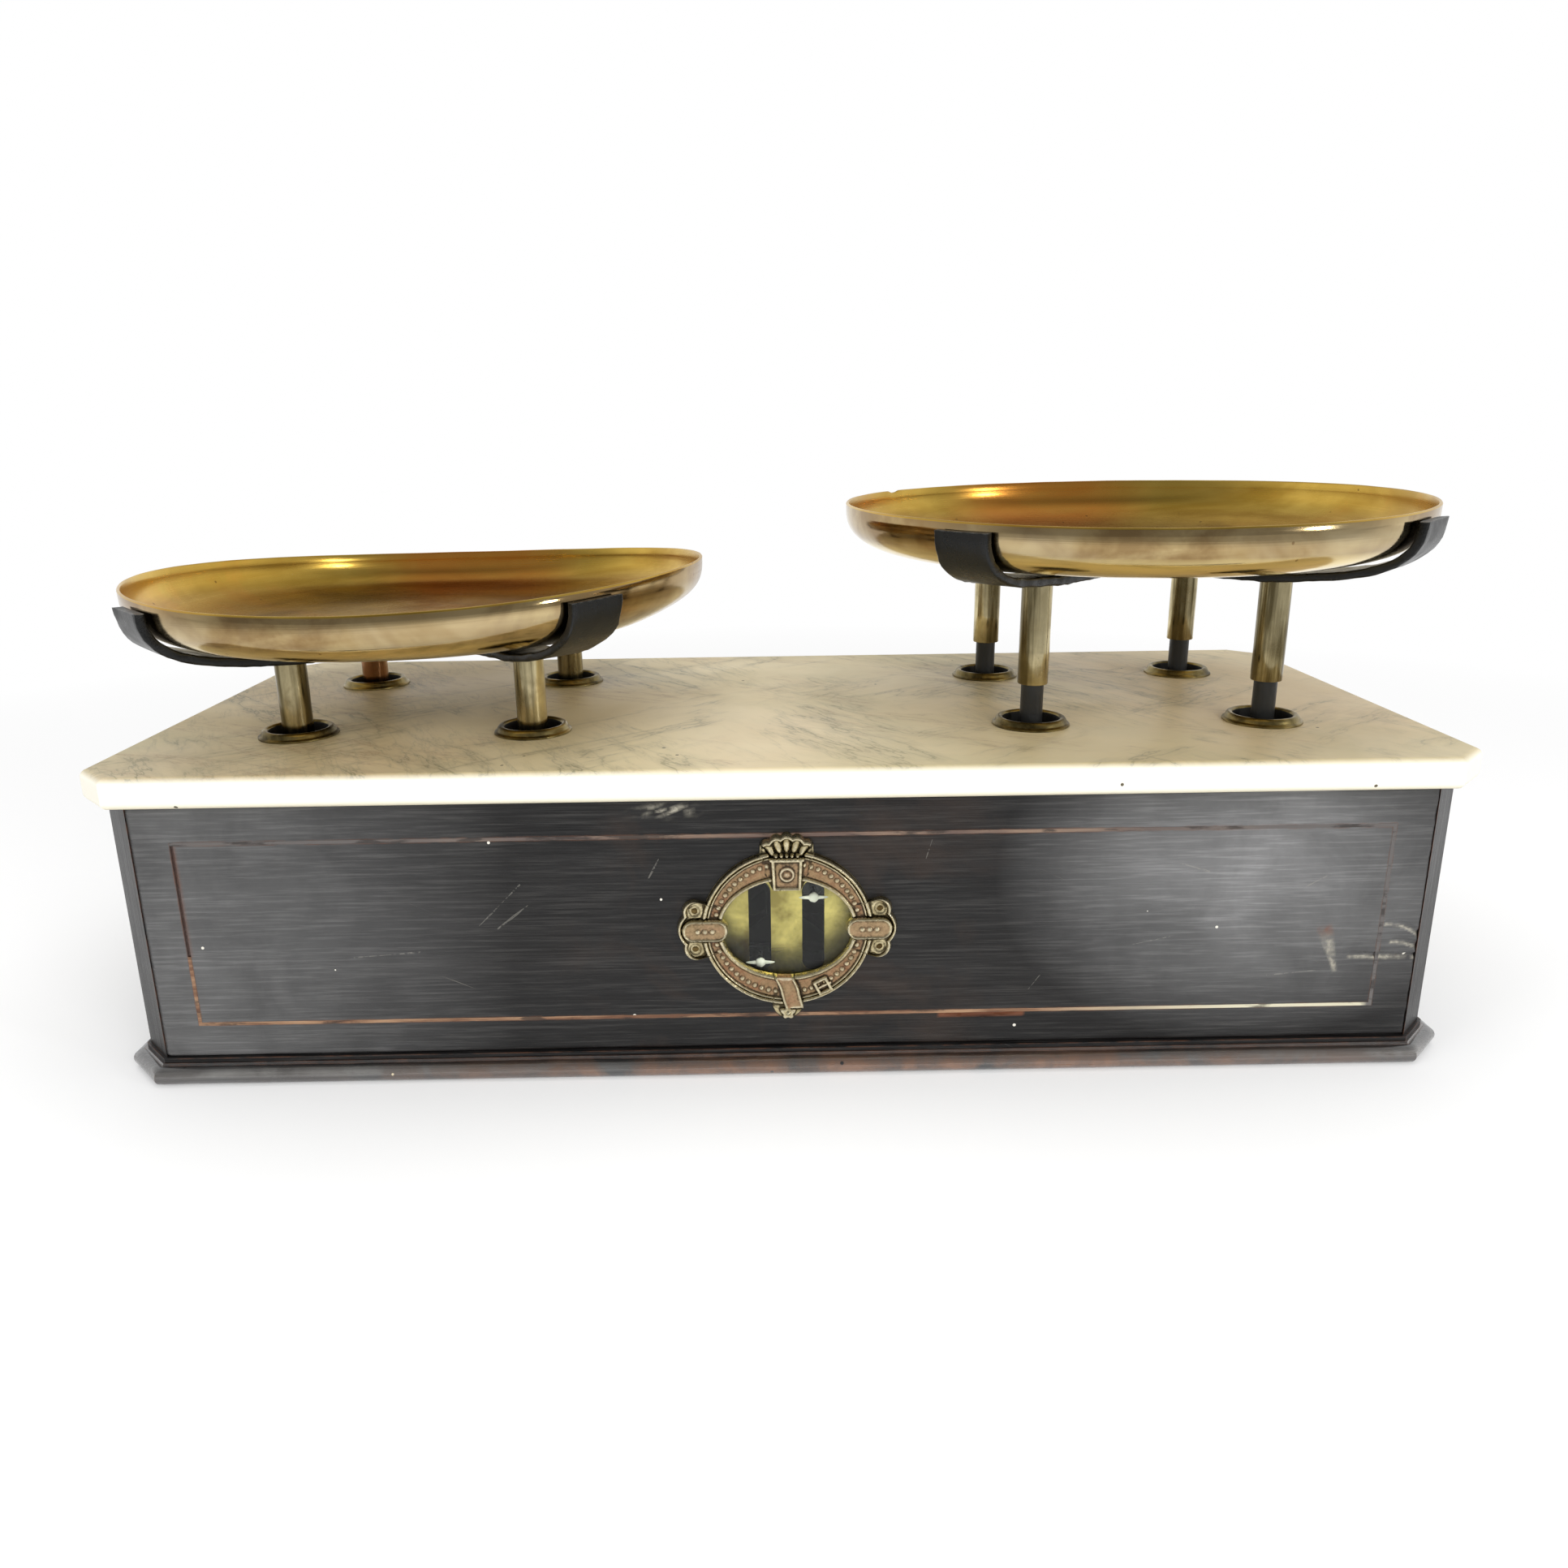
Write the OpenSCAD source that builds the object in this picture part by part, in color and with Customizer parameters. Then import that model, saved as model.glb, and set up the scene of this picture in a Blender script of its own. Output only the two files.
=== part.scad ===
// Counter scale with two round pans over an enclosed beam.
// A marble-topped case holds a level-arm mechanism: a main beam and two side
// levers carry each pan on four upright rods, so that the pans stay level.
// Frame: millimetres, +Z up, +X to the right and +Y to the back, origin on the
// surface that the scale stands on, under the middle of the case.

/* [Case] */
// Length of the case over its end boards
case_l = 586; // [560:1:620]
// Depth of the case over its front and back boards
case_w = 241.5; // [232:0.5:260]
// Thickness of the case's boards
board_t = 14; // [11:1:16]
// Width of the cut corners, along the long side
case_cut = 14.3; // [10:0.1:18]
// Thickness of the base board
base_t = 11; // [10:0.5:14]
// How far the half-round moulding stands out from the base board
nosing_out = 6; // [4:0.5:8]
// Height of the half-round moulding
nosing_h = 9; // [8:0.5:10]

/* [Marble] */
// Length of the marble slab
marble_l = 600; // [590:1:630]
// Depth of the marble slab
marble_w = 255; // [245:1:270]
// Thickness of the marble slab
marble_t = 14; // [12:0.5:20]
// Width of the slab's cut corners
marble_cut = 16; // [10:0.5:20]
// Rounding of the slab's edges
marble_edge = 3.5; // [2:0.5:5]
// Height of the marble's top above the counter
marble_top_z = 143; // [141:1:150]

/* [Pans] */
// Radius of each pan at its rim
pan_r = 137.5; // [125:0.5:145]
// Depth of each pan
pan_depth = 30.5; // [28:0.5:38]
// Thickness of the pans' brass
pan_wall = 1.5; // [1.2:0.1:2.5]
// Distance of each pan's middle from the middle of the case
pan_x = 172.5; // [168:0.5:176]
// Height of the rims above the counter when the scale is balanced
rim_z = 228.5; // [226:0.5:240]

/* [Pan arms and posts] */
// Width of the iron straps under each pan
arm_w = 29; // [24:1:32]
// Thickness of the straps
arm_t = 4; // [3:0.5:5]
// Distance between a pan's posts, left to right
post_dx = 110; // [108:1:112]
// Distance between a pan's posts, front to back
post_dy = 114; // [110:1:116]
// Diameter of the iron rods
rod_d = 10.5; // [9.5:0.5:11]
// Diameter of the brass sleeves on the rods
sleeve_d = 14; // [13:0.5:16]
// Bore of the brass ferrules in the marble
ferrule_bore = 26.6; // [24:0.2:28]

/* [Mechanism] */
// How far each pan travels from its lowest to its highest place
travel = 31; // [26:0.5:32]
// Height of the beam's pivot above the counter
fulcrum_z = 86; // [85:0.5:88]
// Distance from the beam's pivot to the knives that carry the pans
pan_knife_x = 117.5; // [116:0.5:119]
// Distance from the middle to the knives of the side levers that carry the pans
lever_knife_x = 200; // [198:0.5:204]
// Distance from the middle to the side levers' own pivots
lever_pivot_x = 264; // [260:0.5:266]
// Drop from the beam's end knives to the side levers' knives
link_drop = 34; // [33:0.5:36]

/* [Window] */
// Height of the window's middle above the counter
window_z = 69.2; // [66:0.2:72]
// Width of the window's opening
window_w = 57.6; // [50:0.2:60]
// Height of the window's opening
window_h = 45.2; // [40:0.2:50]
// Height of the pointers above the counter when the scale is balanced
pointer_z = 63.5; // [62:0.5:66]

/* [Hidden] */
$fn = 64;

// Fits and small shared sizes
fit = 0.1;               // room between a piece and the hole it drops into
knife_gap = 0.35;        // room between a knife's edge and its bearing
pan_gap = 0.4;           // room between a pan and the straps under it
half = travel / 2;
case_top_z = marble_top_z - marble_t;
front_y = -case_w / 2;
string_w = 1.5;          // width and depth of the inlaid stringing
string_d = 1.4;
string_x = 261.3;        // half the stringing rectangle's length
string_low = 27;
string_high = 111.8;
string_break = 59.5;     // the left string is lost above this height
post_block = 26;         // section of the case's corner posts
window_hole_r = 33;
glass_r = 35;
glass_t = 2.4;
slot_x = 12;             // the index plate's slots and the pointers
slot_w = 10;
slot_h = 44;
plate_t = 1.2;

// Mechanism worked out from the driving sizes. The knives lie in level rows when
// the scale is balanced, and both supports of a pan then rise by the same amount.
link_x = pan_knife_x * lever_pivot_x / (pan_knife_x + lever_pivot_x - lever_knife_x);
beam_angle = asin(half / pan_knife_x);
lever_angle = asin(half / (lever_pivot_x - lever_knife_x));
link_lift = link_x * sin(beam_angle);
lever_z = fulcrum_z - link_drop;
knife_w = 7;
knife_h = 9;
beam_t = 10;
yoke_rise = 7;           // from the row of pan knives to the yoke's underside
yoke_t = 9;
yoke_z = fulcrum_z + yoke_rise;
rail_w = 14;
strap_z = rim_z - pan_depth - pan_gap - arm_t;
sleeve_low_z = marble_top_z + 19.5 - half;
tenon_d = 8;

WOOD = "#2b2724";
MARBLE = "#d9d3c4";
BRASS = "#a98a45";
AGED_BRASS = "#7d6a3c";
IRON = "#26282b";
STEEL = "#8d9094";
CAST = "#3a3f42";

// Shared shapes

// One band across a slab: its children draw the section from -$half to $half
module band(half_width, run)
    rotate([90, 0, 90]) linear_extrude(run, center = true) {
        $half = half_width;
        children();
    }

// A slab with cut corners whose section, edges and all, is drawn by its children
module edged_slab(l, w, cut)
    intersection() {
        band(w / 2, 2 * l) children();
        rotate(90) band(l / 2, 2 * l) children();
        rotate(45) band((l + w - 2 * cut) / (2 * sqrt(2)), 2 * l) children();
        rotate(-45) band((l + w - 2 * cut) / (2 * sqrt(2)), 2 * l) children();
    }

module plain_section(t) translate([-$half, 0]) square([2 * $half, t]);

module rounded_section(t, r) {
    translate([-$half + r, 0]) square([2 * ($half - r), t]);
    translate([-$half, r]) square([2 * $half, t - 2 * r]);
    for (s = [-1, 1], z = [r, t - r]) translate([s * ($half - r), z]) circle(r);
}

// Outline of an ellipse with half axes a and b
function ellipse(a, b, n = 64) = [for (i = [0 : n - 1]) [a * cos(360 * i / n), b * sin(360 * i / n)]];

// Section of a shallow bowl, a squarish oval's quarter from the bottom's middle out to the rim
pan_power = 3.2;
function bowl_edge(rim, depth, steps = 22) = [for (i = [0 : steps]) let (a = 90 * i / steps)
    [rim * pow(sin(a), 2 / pan_power), -depth * pow(cos(a), 2 / pan_power)]];
function reversed(points) = [for (i = [len(points) - 1 : -1 : 0]) points[i]];

// Puts a flat drawing on the front of the case, with its thickness towards the viewer
module on_front(z = window_z, y = front_y) translate([0, y, z]) rotate([90, 0, 0]) children();

// The four posts of one pan, side is -1 for the left and 1 for the right
module at_posts(side)
    for (dx = [-1, 1], dy = [-1, 1])
        translate([side * pan_x + dx * post_dx / 2, dy * post_dy / 2, 0]) children();

// The pans' present heights: the left one is down and the right one is up
module carried(side) translate([0, 0, side * half]) children();

// Everything fixed to the beam, which lies tilted with its right end up
module tilted() translate([0, 0, fulcrum_z]) rotate([0, -beam_angle, 0]) children();

// Everything fixed to a side lever, drawn from its pivot towards the middle
module levered(side)
    translate([side * lever_pivot_x, 0, lever_z]) mirror([side > 0 ? 1 : 0, 0, 0])
        rotate([0, -side * lever_angle, 0]) children();

// The swell of a bar round a knife whose edge is at x and points up, or down when flipped
module knife_boss(x, flipped = false) translate([x, flipped ? 4.5 : -4.5]) circle(8.5);

// A knife with its edge on the Y axis, pointing up, or down when flipped
module knife(length, flipped = false)
    rotate([flipped ? 180 : 0, 0, 0]) rotate([90, 0, 0]) linear_extrude(length, center = true)
        polygon([[0, 0], [-knife_w / 2, -knife_h / 2], [-knife_w / 2, -knife_h],
                 [knife_w / 2, -knife_h], [knife_w / 2, -knife_h / 2]]);

// A round-headed screw standing on z = 0
module screw(head_d, head_h, shank_d, shank_l, slot = 0.9) {
    difference() {
        intersection() {
            cylinder(d = head_d, h = head_h);
            translate([0, 0, head_h - 0.72 * head_d]) sphere(0.72 * head_d);
        }
        translate([-head_d, -slot / 2, head_h - slot]) cube([2 * head_d, slot, 2 * slot]);
    }
    translate([0, 0, -shank_l]) cylinder(d = shank_d, h = shank_l);
}

// Case

module base_board()
    color(WOOD) edged_slab(case_l + 3, case_w + 3, case_cut + 1) plain_section(base_t);

module base_moulding()
    color(WOOD) difference() {
        edged_slab(case_l + 3 + 2 * nosing_out, case_w + 3 + 2 * nosing_out, case_cut + 1 + 0.59 * nosing_out)
            rounded_section(nosing_h, nosing_h / 2 - 0.2);
        translate([0, 0, -1]) edged_slab(case_l + 3, case_w + 3, case_cut + 1) plain_section(base_t + 2);
    }

// The long boards run from cut corner to cut corner, in front of the posts
module long_board(y)
    translate([-case_l / 2 + case_cut, y, base_t])
        cube([case_l - 2 * case_cut, board_t, case_top_z - base_t]);

// The stringing's four sides, with the left one ending at left_top
module string_runs(left_top, w, d) {
    for (z = [string_low, string_high])
        translate([-string_x - w / 2, front_y, z - w / 2]) cube([2 * string_x + w, d, w]);
    translate([string_x - w / 2, front_y, string_low]) cube([w, d, string_high - string_low]);
    translate([-string_x - w / 2, front_y, string_low]) cube([w, d, left_top - string_low]);
}

module front_board()
    color(WOOD) difference() {
        long_board(front_y);
        on_front(y = front_y + board_t + 1) cylinder(r = window_hole_r, h = board_t + 2);
        on_front(y = front_y + glass_t + fit) cylinder(r = glass_r + fit, h = board_t);
        translate([0, -1, 0]) string_runs(string_high, string_w, string_d + 1);
    }

module front_stringing()
    color("#8a6a48") string_runs(string_break, string_w, string_d);

module back_board() color(WOOD) long_board(case_w / 2 - board_t);

module end_board(side)
    color(WOOD) translate([side > 0 ? case_l / 2 - board_t : -case_l / 2, -case_w / 2 + post_block, base_t])
        cube([board_t, case_w - 2 * post_block, case_top_z - base_t]);

module corner_posts()
    color(WOOD) for (sx = [0, 1], sy = [0, 1]) mirror([sx, 0, 0]) mirror([0, sy, 0])
        translate([case_l / 2 - post_block, case_w / 2 - post_block, base_t])
            linear_extrude(case_top_z - base_t)
                polygon([[0, 0], [post_block, 0], [post_block, post_block - case_cut],
                         [post_block - case_cut, post_block], [post_block - case_cut, post_block - board_t],
                         [0, post_block - board_t]]);

module marble_top()
    color(MARBLE) translate([0, 0, case_top_z]) difference() {
        edged_slab(marble_l, marble_w, marble_cut) rounded_section(marble_t, marble_edge);
        for (side = [-1, 1]) at_posts(side)
            translate([0, 0, -1]) cylinder(d = ferrule_bore + 3.4, h = marble_t + 2);
    }

// A turned ring with a raised lip, and a tube down through the marble
module ferrules(side)
    color(AGED_BRASS) at_posts(side) translate([0, 0, marble_top_z]) rotate_extrude($fn = 72)
        let (b = ferrule_bore / 2, tube = b + 1.6, rim = b + 6.6)
            polygon([[b, -marble_t + 1], [tube, -marble_t + 1], [tube, 0], [rim, 0], [rim, 0.6],
                     [rim - 0.8, 1.3], [rim - 2.6, 1.7], [rim - 3.2, 2.6], [rim - 4.4, 3.2],
                     [rim - 5.7, 2.9], [b, 1.9]]);

// Window

// The ring and the lobes that widen it: screw ears at the sides, rounds at the top and bottom
ring_a = 37.5;
ring_b = 36.2;
bezel_lobes = [[-38.6, 0, 9.4], [-40.2, 9, 5.2], [-40.2, -9, 5.2], [38.6, 0, 9.4], [40.2, 9, 5.2],
               [40.2, -9, 5.2], [0, 36, 9.4], [0, -36.5, 6.9]];

// How far an oval, and a round lobe [x, y, r], reach from the window's middle in direction a
function oval_reach(a, w, h) = w * h / sqrt(pow(h * cos(a), 2) + pow(w * sin(a), 2));
function lobe_reach(a, lobe) = let (off = lobe[1] * cos(a) - lobe[0] * sin(a))
    abs(off) < lobe[2] ? lobe[0] * cos(a) + lobe[1] * sin(a) + sqrt(pow(lobe[2], 2) - pow(off, 2)) : 0;
function bezel_reach(a) =
    max(oval_reach(a, ring_a, ring_b), max([for (lobe = bezel_lobes) lobe_reach(a, lobe)]));

module bezel_outline(steps = 144)
    polygon([for (i = [0 : steps - 1]) let (a = 360 * (i + 0.5) / steps) bezel_reach(a) * [cos(a), sin(a)]]);

// A capsule lying along X
module capsule(l, w) {
    square([l - w, w], center = true);
    for (s = [-1, 1]) translate([s * (l - w) / 2, 0]) circle(w / 2);
}

// A bead with a sloping side
module bead(r, h) cylinder(r1 = r, r2 = 0.55 * r, h = h, $fn = 32);

// A scalloped fan with a bead in each scallop
module palmette(petals = 7, spread = 130) {
    linear_extrude(2.6) polygon(concat(
        [for (i = [0 : 6 * petals])
            let (turn = spread * (0.5 - i / (6 * petals)), swell = 1.3 * sin(30 * (i % 6)),
                 reach = 9.9 - 3.4 * abs(turn) / 65 + swell)
            [reach * sin(turn), reach * cos(turn)]],
        [[-3, -3], [3, -3]]));
    for (i = [0 : petals - 1])
        let (turn = spread * ((i + 0.5) / petals - 0.5), reach = 8.9 - 3.4 * abs(turn) / 65)
            translate([reach * sin(turn), reach * cos(turn), 0.3]) bead(1.3, 3.4);
    cylinder(r = 2.7, h = 4.1);
}

// A raised oval rim, w and h its outer half axes
module oval_rim(w, h, across, up)
    linear_extrude(up) difference() {
        polygon(ellipse(w, h));
        polygon(ellipse(w - across, h - across));
    }

module window_bezel()
    color(AGED_BRASS) on_front() difference() {
        union() {
            linear_extrude(1.8) difference() {
                bezel_outline();
                polygon(ellipse(window_w / 2, window_h / 2));
            }
            oval_rim(ring_a - 0.4, ring_b - 0.6, 2, 3.4);
            oval_rim(window_w / 2 + 1.8, window_h / 2 + 1.8, 1.5, 3);
            for (s = [-1, 1]) translate([s * 35.2, 0, 0]) {
                linear_extrude(3.7) capsule(19.6, 10.8);
                linear_extrude(4.4) difference() {
                    capsule(19.2, 10.4);
                    capsule(17.6, 8.8);
                }
            }
            translate([0, 25.6, 0]) linear_extrude(4) square([12.8, 15], center = true);
            translate([0, 34.4, 0.6]) palmette();
            translate([0, -30.6, 0]) linear_extrude(4.2) square([8.6, 15.4], center = true);
            for (i = [0 : 4]) translate([2.5 * sin(72 * i), -39.6 + 2.5 * cos(72 * i), 0.5]) bead(1.4, 3.1);
            translate([0, -39.6, 0]) cylinder(r = 1.2, h = 4.6);
        }
        for (s = [-1, 1], t = [-1, 1]) translate([s * 40.2, t * 9, -1]) cylinder(r = 1.3, h = 9);
    }

module bezel_screws()
    color(AGED_BRASS) on_front() for (s = [-1, 1], t = [-1, 1]) translate([s * 40.2, t * 9, 1.8]) {
        screw(4.4, 1.1, 2.4, 1.7, 0.6);
    }

module window_glass()
    color("#cfe0dd", 0.35) on_front(y = front_y + glass_t) cylinder(r = glass_r, h = glass_t);

module index_plate()
    color(BRASS) on_front(y = front_y + board_t + plate_t) linear_extrude(plate_t) difference() {
        square([84, 74], center = true);
        for (s = [-1, 1]) translate([s * slot_x, pointer_z - window_z]) rotate(90) capsule(slot_h, slot_w);
        for (s = [-1, 1], t = [-1, 1]) translate([s * 38, t * 33]) circle(1.6);
    }

module index_screws()
    color(STEEL) translate([0, front_y + board_t + plate_t, window_z]) rotate([-90, 0, 0])
        for (s = [-1, 1], t = [-1, 1]) translate([s * 38, t * 33, 0]) {
            screw(5.2, 1.8, 2.6, plate_t, 0.8);
        }

// Fixed stands of the mechanism

// Two uprights on a foot, open between them for the beam or lever
module stand(top, foot_l, foot_w, upright_y, upright_w, top_l) {
    translate([-foot_l / 2, -foot_w / 2, base_t]) cube([foot_l, foot_w, 6]);
    for (s = [-1, 1]) translate([0, s * upright_y, 0]) rotate([90, 0, 0])
        linear_extrude(upright_w, center = true)
            polygon([[-foot_l / 2 + 4, base_t + 6], [foot_l / 2 - 4, base_t + 6],
                     [top_l / 2, base_t + 22], [top_l / 2, top], [-top_l / 2, top],
                     [-top_l / 2, base_t + 22]]);
}

// Hard steel blocks with a wide groove that a knife's edge stands in
module groove_block(l, w, h) 
    translate([0, 0, -knife_gap]) rotate([90, 0, 0]) linear_extrude(w, center = true)
        polygon([[-l / 2, -h], [l / 2, -h], [l / 2, 2], [l / 2 - 2.2, 2], [0, 0],
                 [-l / 2 + 2.2, 2], [-l / 2, 2]]);

fulcrum_upright_y = 19;
lever_upright_y = 17;
block_h = 6;

module fulcrum_stand()
    color(CAST) difference() {
        stand(fulcrum_z - knife_gap - block_h, 64, 68, fulcrum_upright_y, 10, 18);
        stand_screw_holes(0, 25, 29.5);
    }

module stand_screw_holes(x, dx, dy)
    for (sx = [-1, 1], sy = [-1, 1]) translate([x + sx * dx, sy * dy, base_t - 1]) cylinder(d = 4.4, h = 9);

module fulcrum_bearings()
    color(STEEL) for (s = [-1, 1])
        translate([0, s * fulcrum_upright_y, fulcrum_z]) groove_block(14, 10, block_h);

lever_foot_l = 26;

module lever_stand(side)
    color(CAST) difference() {
        translate([side * lever_pivot_x, 0, 0])
            stand(lever_z - knife_gap - block_h, lever_foot_l, 64, lever_upright_y, 8, 14);
        stand_screw_holes(side * lever_pivot_x, 8, 27);
    }

module lever_bearings()
    color(STEEL) for (side = [-1, 1], s = [-1, 1])
        translate([side * lever_pivot_x, s * lever_upright_y, lever_z]) groove_block(12, 8, block_h);

module stand_screws()
    color(STEEL) {
        for (sx = [-1, 1], sy = [-1, 1]) translate([sx * 25, sy * 29.5, base_t + 6]) screw(8, 2.6, 4, 6);
        for (side = [-1, 1], sx = [-1, 1], sy = [-1, 1])
            translate([side * lever_pivot_x + sx * 8, sy * 27, base_t + 6]) screw(7, 2.4, 4, 6);
    }

// Posts under the beam's arms that end its swing
stop_x = 146;
stop_d = 10;
stop_gap = 0.6;
stop_z = fulcrum_z - stop_gap - (stop_x + stop_d / 2) * tan(beam_angle) + beam_low(stop_x) / cos(beam_angle);
module travel_stops()
    color(IRON) for (side = [-1, 1]) translate([side * stop_x, 0, base_t]) {
        cylinder(d = 22, h = 4, $fn = 48);
        cylinder(d = stop_d, h = stop_z - base_t, $fn = 48);
    }

// Beam

// Half height of the beam above and below its row of knives, along its length
function beam_top(x) = 3.4 + 13.4 * pow(cos(90 * x / (link_x + 4)), 4);
function beam_low(x) = -11 - 7 * cos(90 * x / (link_x + 4));
beam_steps = [for (i = [-12 : 12]) i * (link_x - 1.5) / 12];

module beam_side()
    difference() {
        union() {
            polygon(concat([for (x = beam_steps) [x, beam_low(abs(x))]],
                           [for (x = beam_steps) [-x, beam_top(abs(x))]]));
            for (s = [-1, 1]) knife_boss(s * link_x);
        }
        for (s = [-1, 1]) {
            translate([s * 62, -3.5]) capsule(58, 13);
            translate([s * 143.5, -3.4]) capsule(24, 6.4);
        }
    }

module main_beam()
    color(CAST) tilted() difference() {
        rotate([90, 0, 0]) linear_extrude(beam_t, center = true) beam_side();
        knife(beam_t + 2, flipped = true);
        for (s = [-1, 1], x = [pan_knife_x, link_x]) translate([s * x, 0, 0]) knife(beam_t + 2);
    }

module centre_knife() color(STEEL) tilted() knife(54, flipped = true);
module pan_knives() color(STEEL) tilted() for (s = [-1, 1]) translate([s * pan_knife_x, 0, 0]) knife(50);
module link_knives() color(STEEL) tilted() for (s = [-1, 1]) translate([s * link_x, 0, 0]) knife(28);

tare_x = -88;
tare_r = 12;
tare_z = beam_top(abs(tare_x) - tare_r);

// A brass cup on the left arm, holding the lead that trims the beam
module tare_box()
    color(BRASS) tilted() difference() {
        translate([tare_x, 0, tare_z]) {
            cylinder(r = tare_r, h = 10);
            translate([0, 0, 9.2]) cylinder(r = tare_r + 1, h = 2.2);
            translate([-7, -beam_t / 2, -5]) cube([14, beam_t, 5.5]);
        }
        translate([tare_x, 0, tare_z + 1]) cylinder(r = tare_r - 1.2, h = 8);
        rotate([90, 0, 0]) linear_extrude(beam_t + 2, center = true) beam_side();
    }

module tare_lead()
    color("#5a5c60") tilted() translate([tare_x, 0, tare_z + 1]) cylinder(r = tare_r - 1.2, h = 7);

// Side levers and the links that hang them from the beam

lever_len = lever_pivot_x - link_x;
lever_load = lever_pivot_x - lever_knife_x;

module lever(side)
    color(CAST) levered(side) difference() {
        rotate([90, 0, 0]) linear_extrude(beam_t, center = true) difference() {
            union() {
                polygon([[1, -2.5], [lever_load, -12.4], [lever_len - 1, -2.5], [lever_len - 1, 11.5],
                         [lever_load, 3.6], [1, 11.5]]);
                knife_boss(0, flipped = true);
                knife_boss(lever_load);
                knife_boss(lever_len, flipped = true);
            }
            translate([lever_load / 2, 0]) rotate(-4) capsule(34, 6);
        }
        knife(beam_t + 2, flipped = true);
        translate([lever_load, 0, 0]) knife(beam_t + 2);
        translate([lever_len, 0, 0]) knife(beam_t + 2, flipped = true);
    }

module lever_knives(side)
    color(STEEL) levered(side) {
        knife(46, flipped = true);
        translate([lever_load, 0, 0]) knife(48);
        translate([lever_len, 0, 0]) knife(28, flipped = true);
    }

// A stirrup: two slotted plates on a riveted spacer
link_y = 10;
module link(side)
    color(STEEL) translate([side * (link_x + 0.5), 0, fulcrum_z + side * link_lift]) {
        for (s = [-1, 1]) translate([0, s * link_y, 0]) rotate([90, 0, 0]) linear_extrude(4, center = true)
            difference() {
                translate([0, -link_drop / 2]) rotate(90) capsule(link_drop + 34, 26);
                for (z = [knife_gap - 7, -link_drop - knife_gap + 7])
                    translate([0, z]) square([16, 14], center = true);
            }
        translate([0, 0, -link_drop / 2]) rotate([90, 0, 0])
            cylinder(d = 5, h = 2 * link_y, center = true, $fn = 32);
    }

// Pan carriers

// A strap's section is a wide cup, flat where the posts stand and with sides that follow the pan
strap_clear = 2.4;       // room between the pan and the curved part of the straps
tip_drop = 3.5;
module cup_section(out, top)
    intersection() {
        let (side = bowl_edge(pan_r + 1 + out, pan_depth + strap_clear + out), steps = len(side) - 1)
            polygon(concat([for (i = [steps : -1 : 1]) [-side[i][0], side[i][1]]], side));
        translate([-2 * pan_r, -pan_depth - pan_gap - out])
            square([4 * pan_r, pan_depth + pan_gap + out + top]);
    }

module strap()
    rotate([90, 0, 0]) linear_extrude(arm_w, center = true) difference() {
        cup_section(arm_t, -tip_drop);
        cup_section(0, 0);
    }

arm_turn = atan2(post_dy, post_dx);
module pan_arms(side)
    color(IRON) carried(side) difference() {
        translate([side * pan_x, 0, rim_z]) {
            rotate(arm_turn) strap();
            rotate(-arm_turn) strap();
        }
        at_posts(side) translate([0, 0, strap_z - 1]) cylinder(d = tenon_d, h = arm_t + 2);
    }

module posts(side)
    color(IRON) carried(side) at_posts(side) {
        translate([0, 0, yoke_z - 11]) cylinder(d = tenon_d, h = 11 + yoke_t);
        translate([0, 0, yoke_z + yoke_t]) cylinder(d = rod_d, h = sleeve_low_z - yoke_z - yoke_t);
        translate([0, 0, sleeve_low_z]) cylinder(d = rod_d - 1.5, h = strap_z - sleeve_low_z);
        translate([0, 0, strap_z]) cylinder(d = tenon_d, h = arm_t);
    }

module sleeves(side)
    color(BRASS) carried(side) at_posts(side) translate([0, 0, sleeve_low_z]) difference() {
        cylinder(d = sleeve_d, h = strap_z - sleeve_low_z);
        translate([0, 0, -1]) cylinder(d = rod_d - 1.5 + fit, h = strap_z - sleeve_low_z + 2);
    }

// A frame that ties the four posts, with two pairs of lugs down to the knives
lug_y = 17;
lug_w = 9;
pad_h = 4;
module lug(x, low)
    for (s = [-1, 1]) translate([x, s * lug_y, 0]) rotate([90, 0, 0]) linear_extrude(lug_w, center = true)
        polygon([[-9, yoke_z], [9, yoke_z], [6, low], [-6, low]]);

module yoke(side)
    color(CAST) carried(side) mirror([side > 0 ? 0 : 1, 0, 0]) difference() {
        union() {
            for (s = [-1, 1]) translate([pan_x, s * post_dy / 2, yoke_z]) linear_extrude(yoke_t)
                capsule(post_dx + 22, rail_w);
            for (x = [pan_x - post_dx / 2, lever_knife_x])
                translate([x - 7, -post_dy / 2, yoke_z]) cube([14, post_dy, yoke_t]);
            for (s = [-1, 1], d = [-1, 1]) translate([pan_x + d * post_dx / 2, s * post_dy / 2, yoke_z])
                cylinder(d = 22, h = yoke_t);
            lug(pan_knife_x, fulcrum_z + knife_gap + pad_h);
            lug(lever_knife_x, lever_z + knife_gap + pad_h);
        }
        at_posts(1) translate([0, 0, yoke_z - 1]) cylinder(d = tenon_d, h = yoke_t + 2);
    }

module yoke_bearings(side)
    color(STEEL) carried(side) {
        for (s = [-1, 1]) translate([side * pan_knife_x, s * lug_y, fulcrum_z + knife_gap])
            rotate([90, 0, 0]) linear_extrude(lug_w, center = true)
                polygon([[-6, pad_h], [-6, -1.4], [0, 0], [6, -1.4], [6, pad_h]]);
        for (s = [-1, 1]) translate([side * lever_knife_x - 6, s * lug_y - lug_w / 2, lever_z + knife_gap])
            cube([12, lug_w, pad_h]);
    }

module yoke_nuts(side)
    color(STEEL) carried(side) at_posts(side) translate([0, 0, yoke_z - 6.5]) difference() {
        cylinder(d = 15, h = 6.5, $fn = 6);
        translate([0, 0, -1]) cylinder(d = tenon_d, h = 9);
    }

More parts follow.
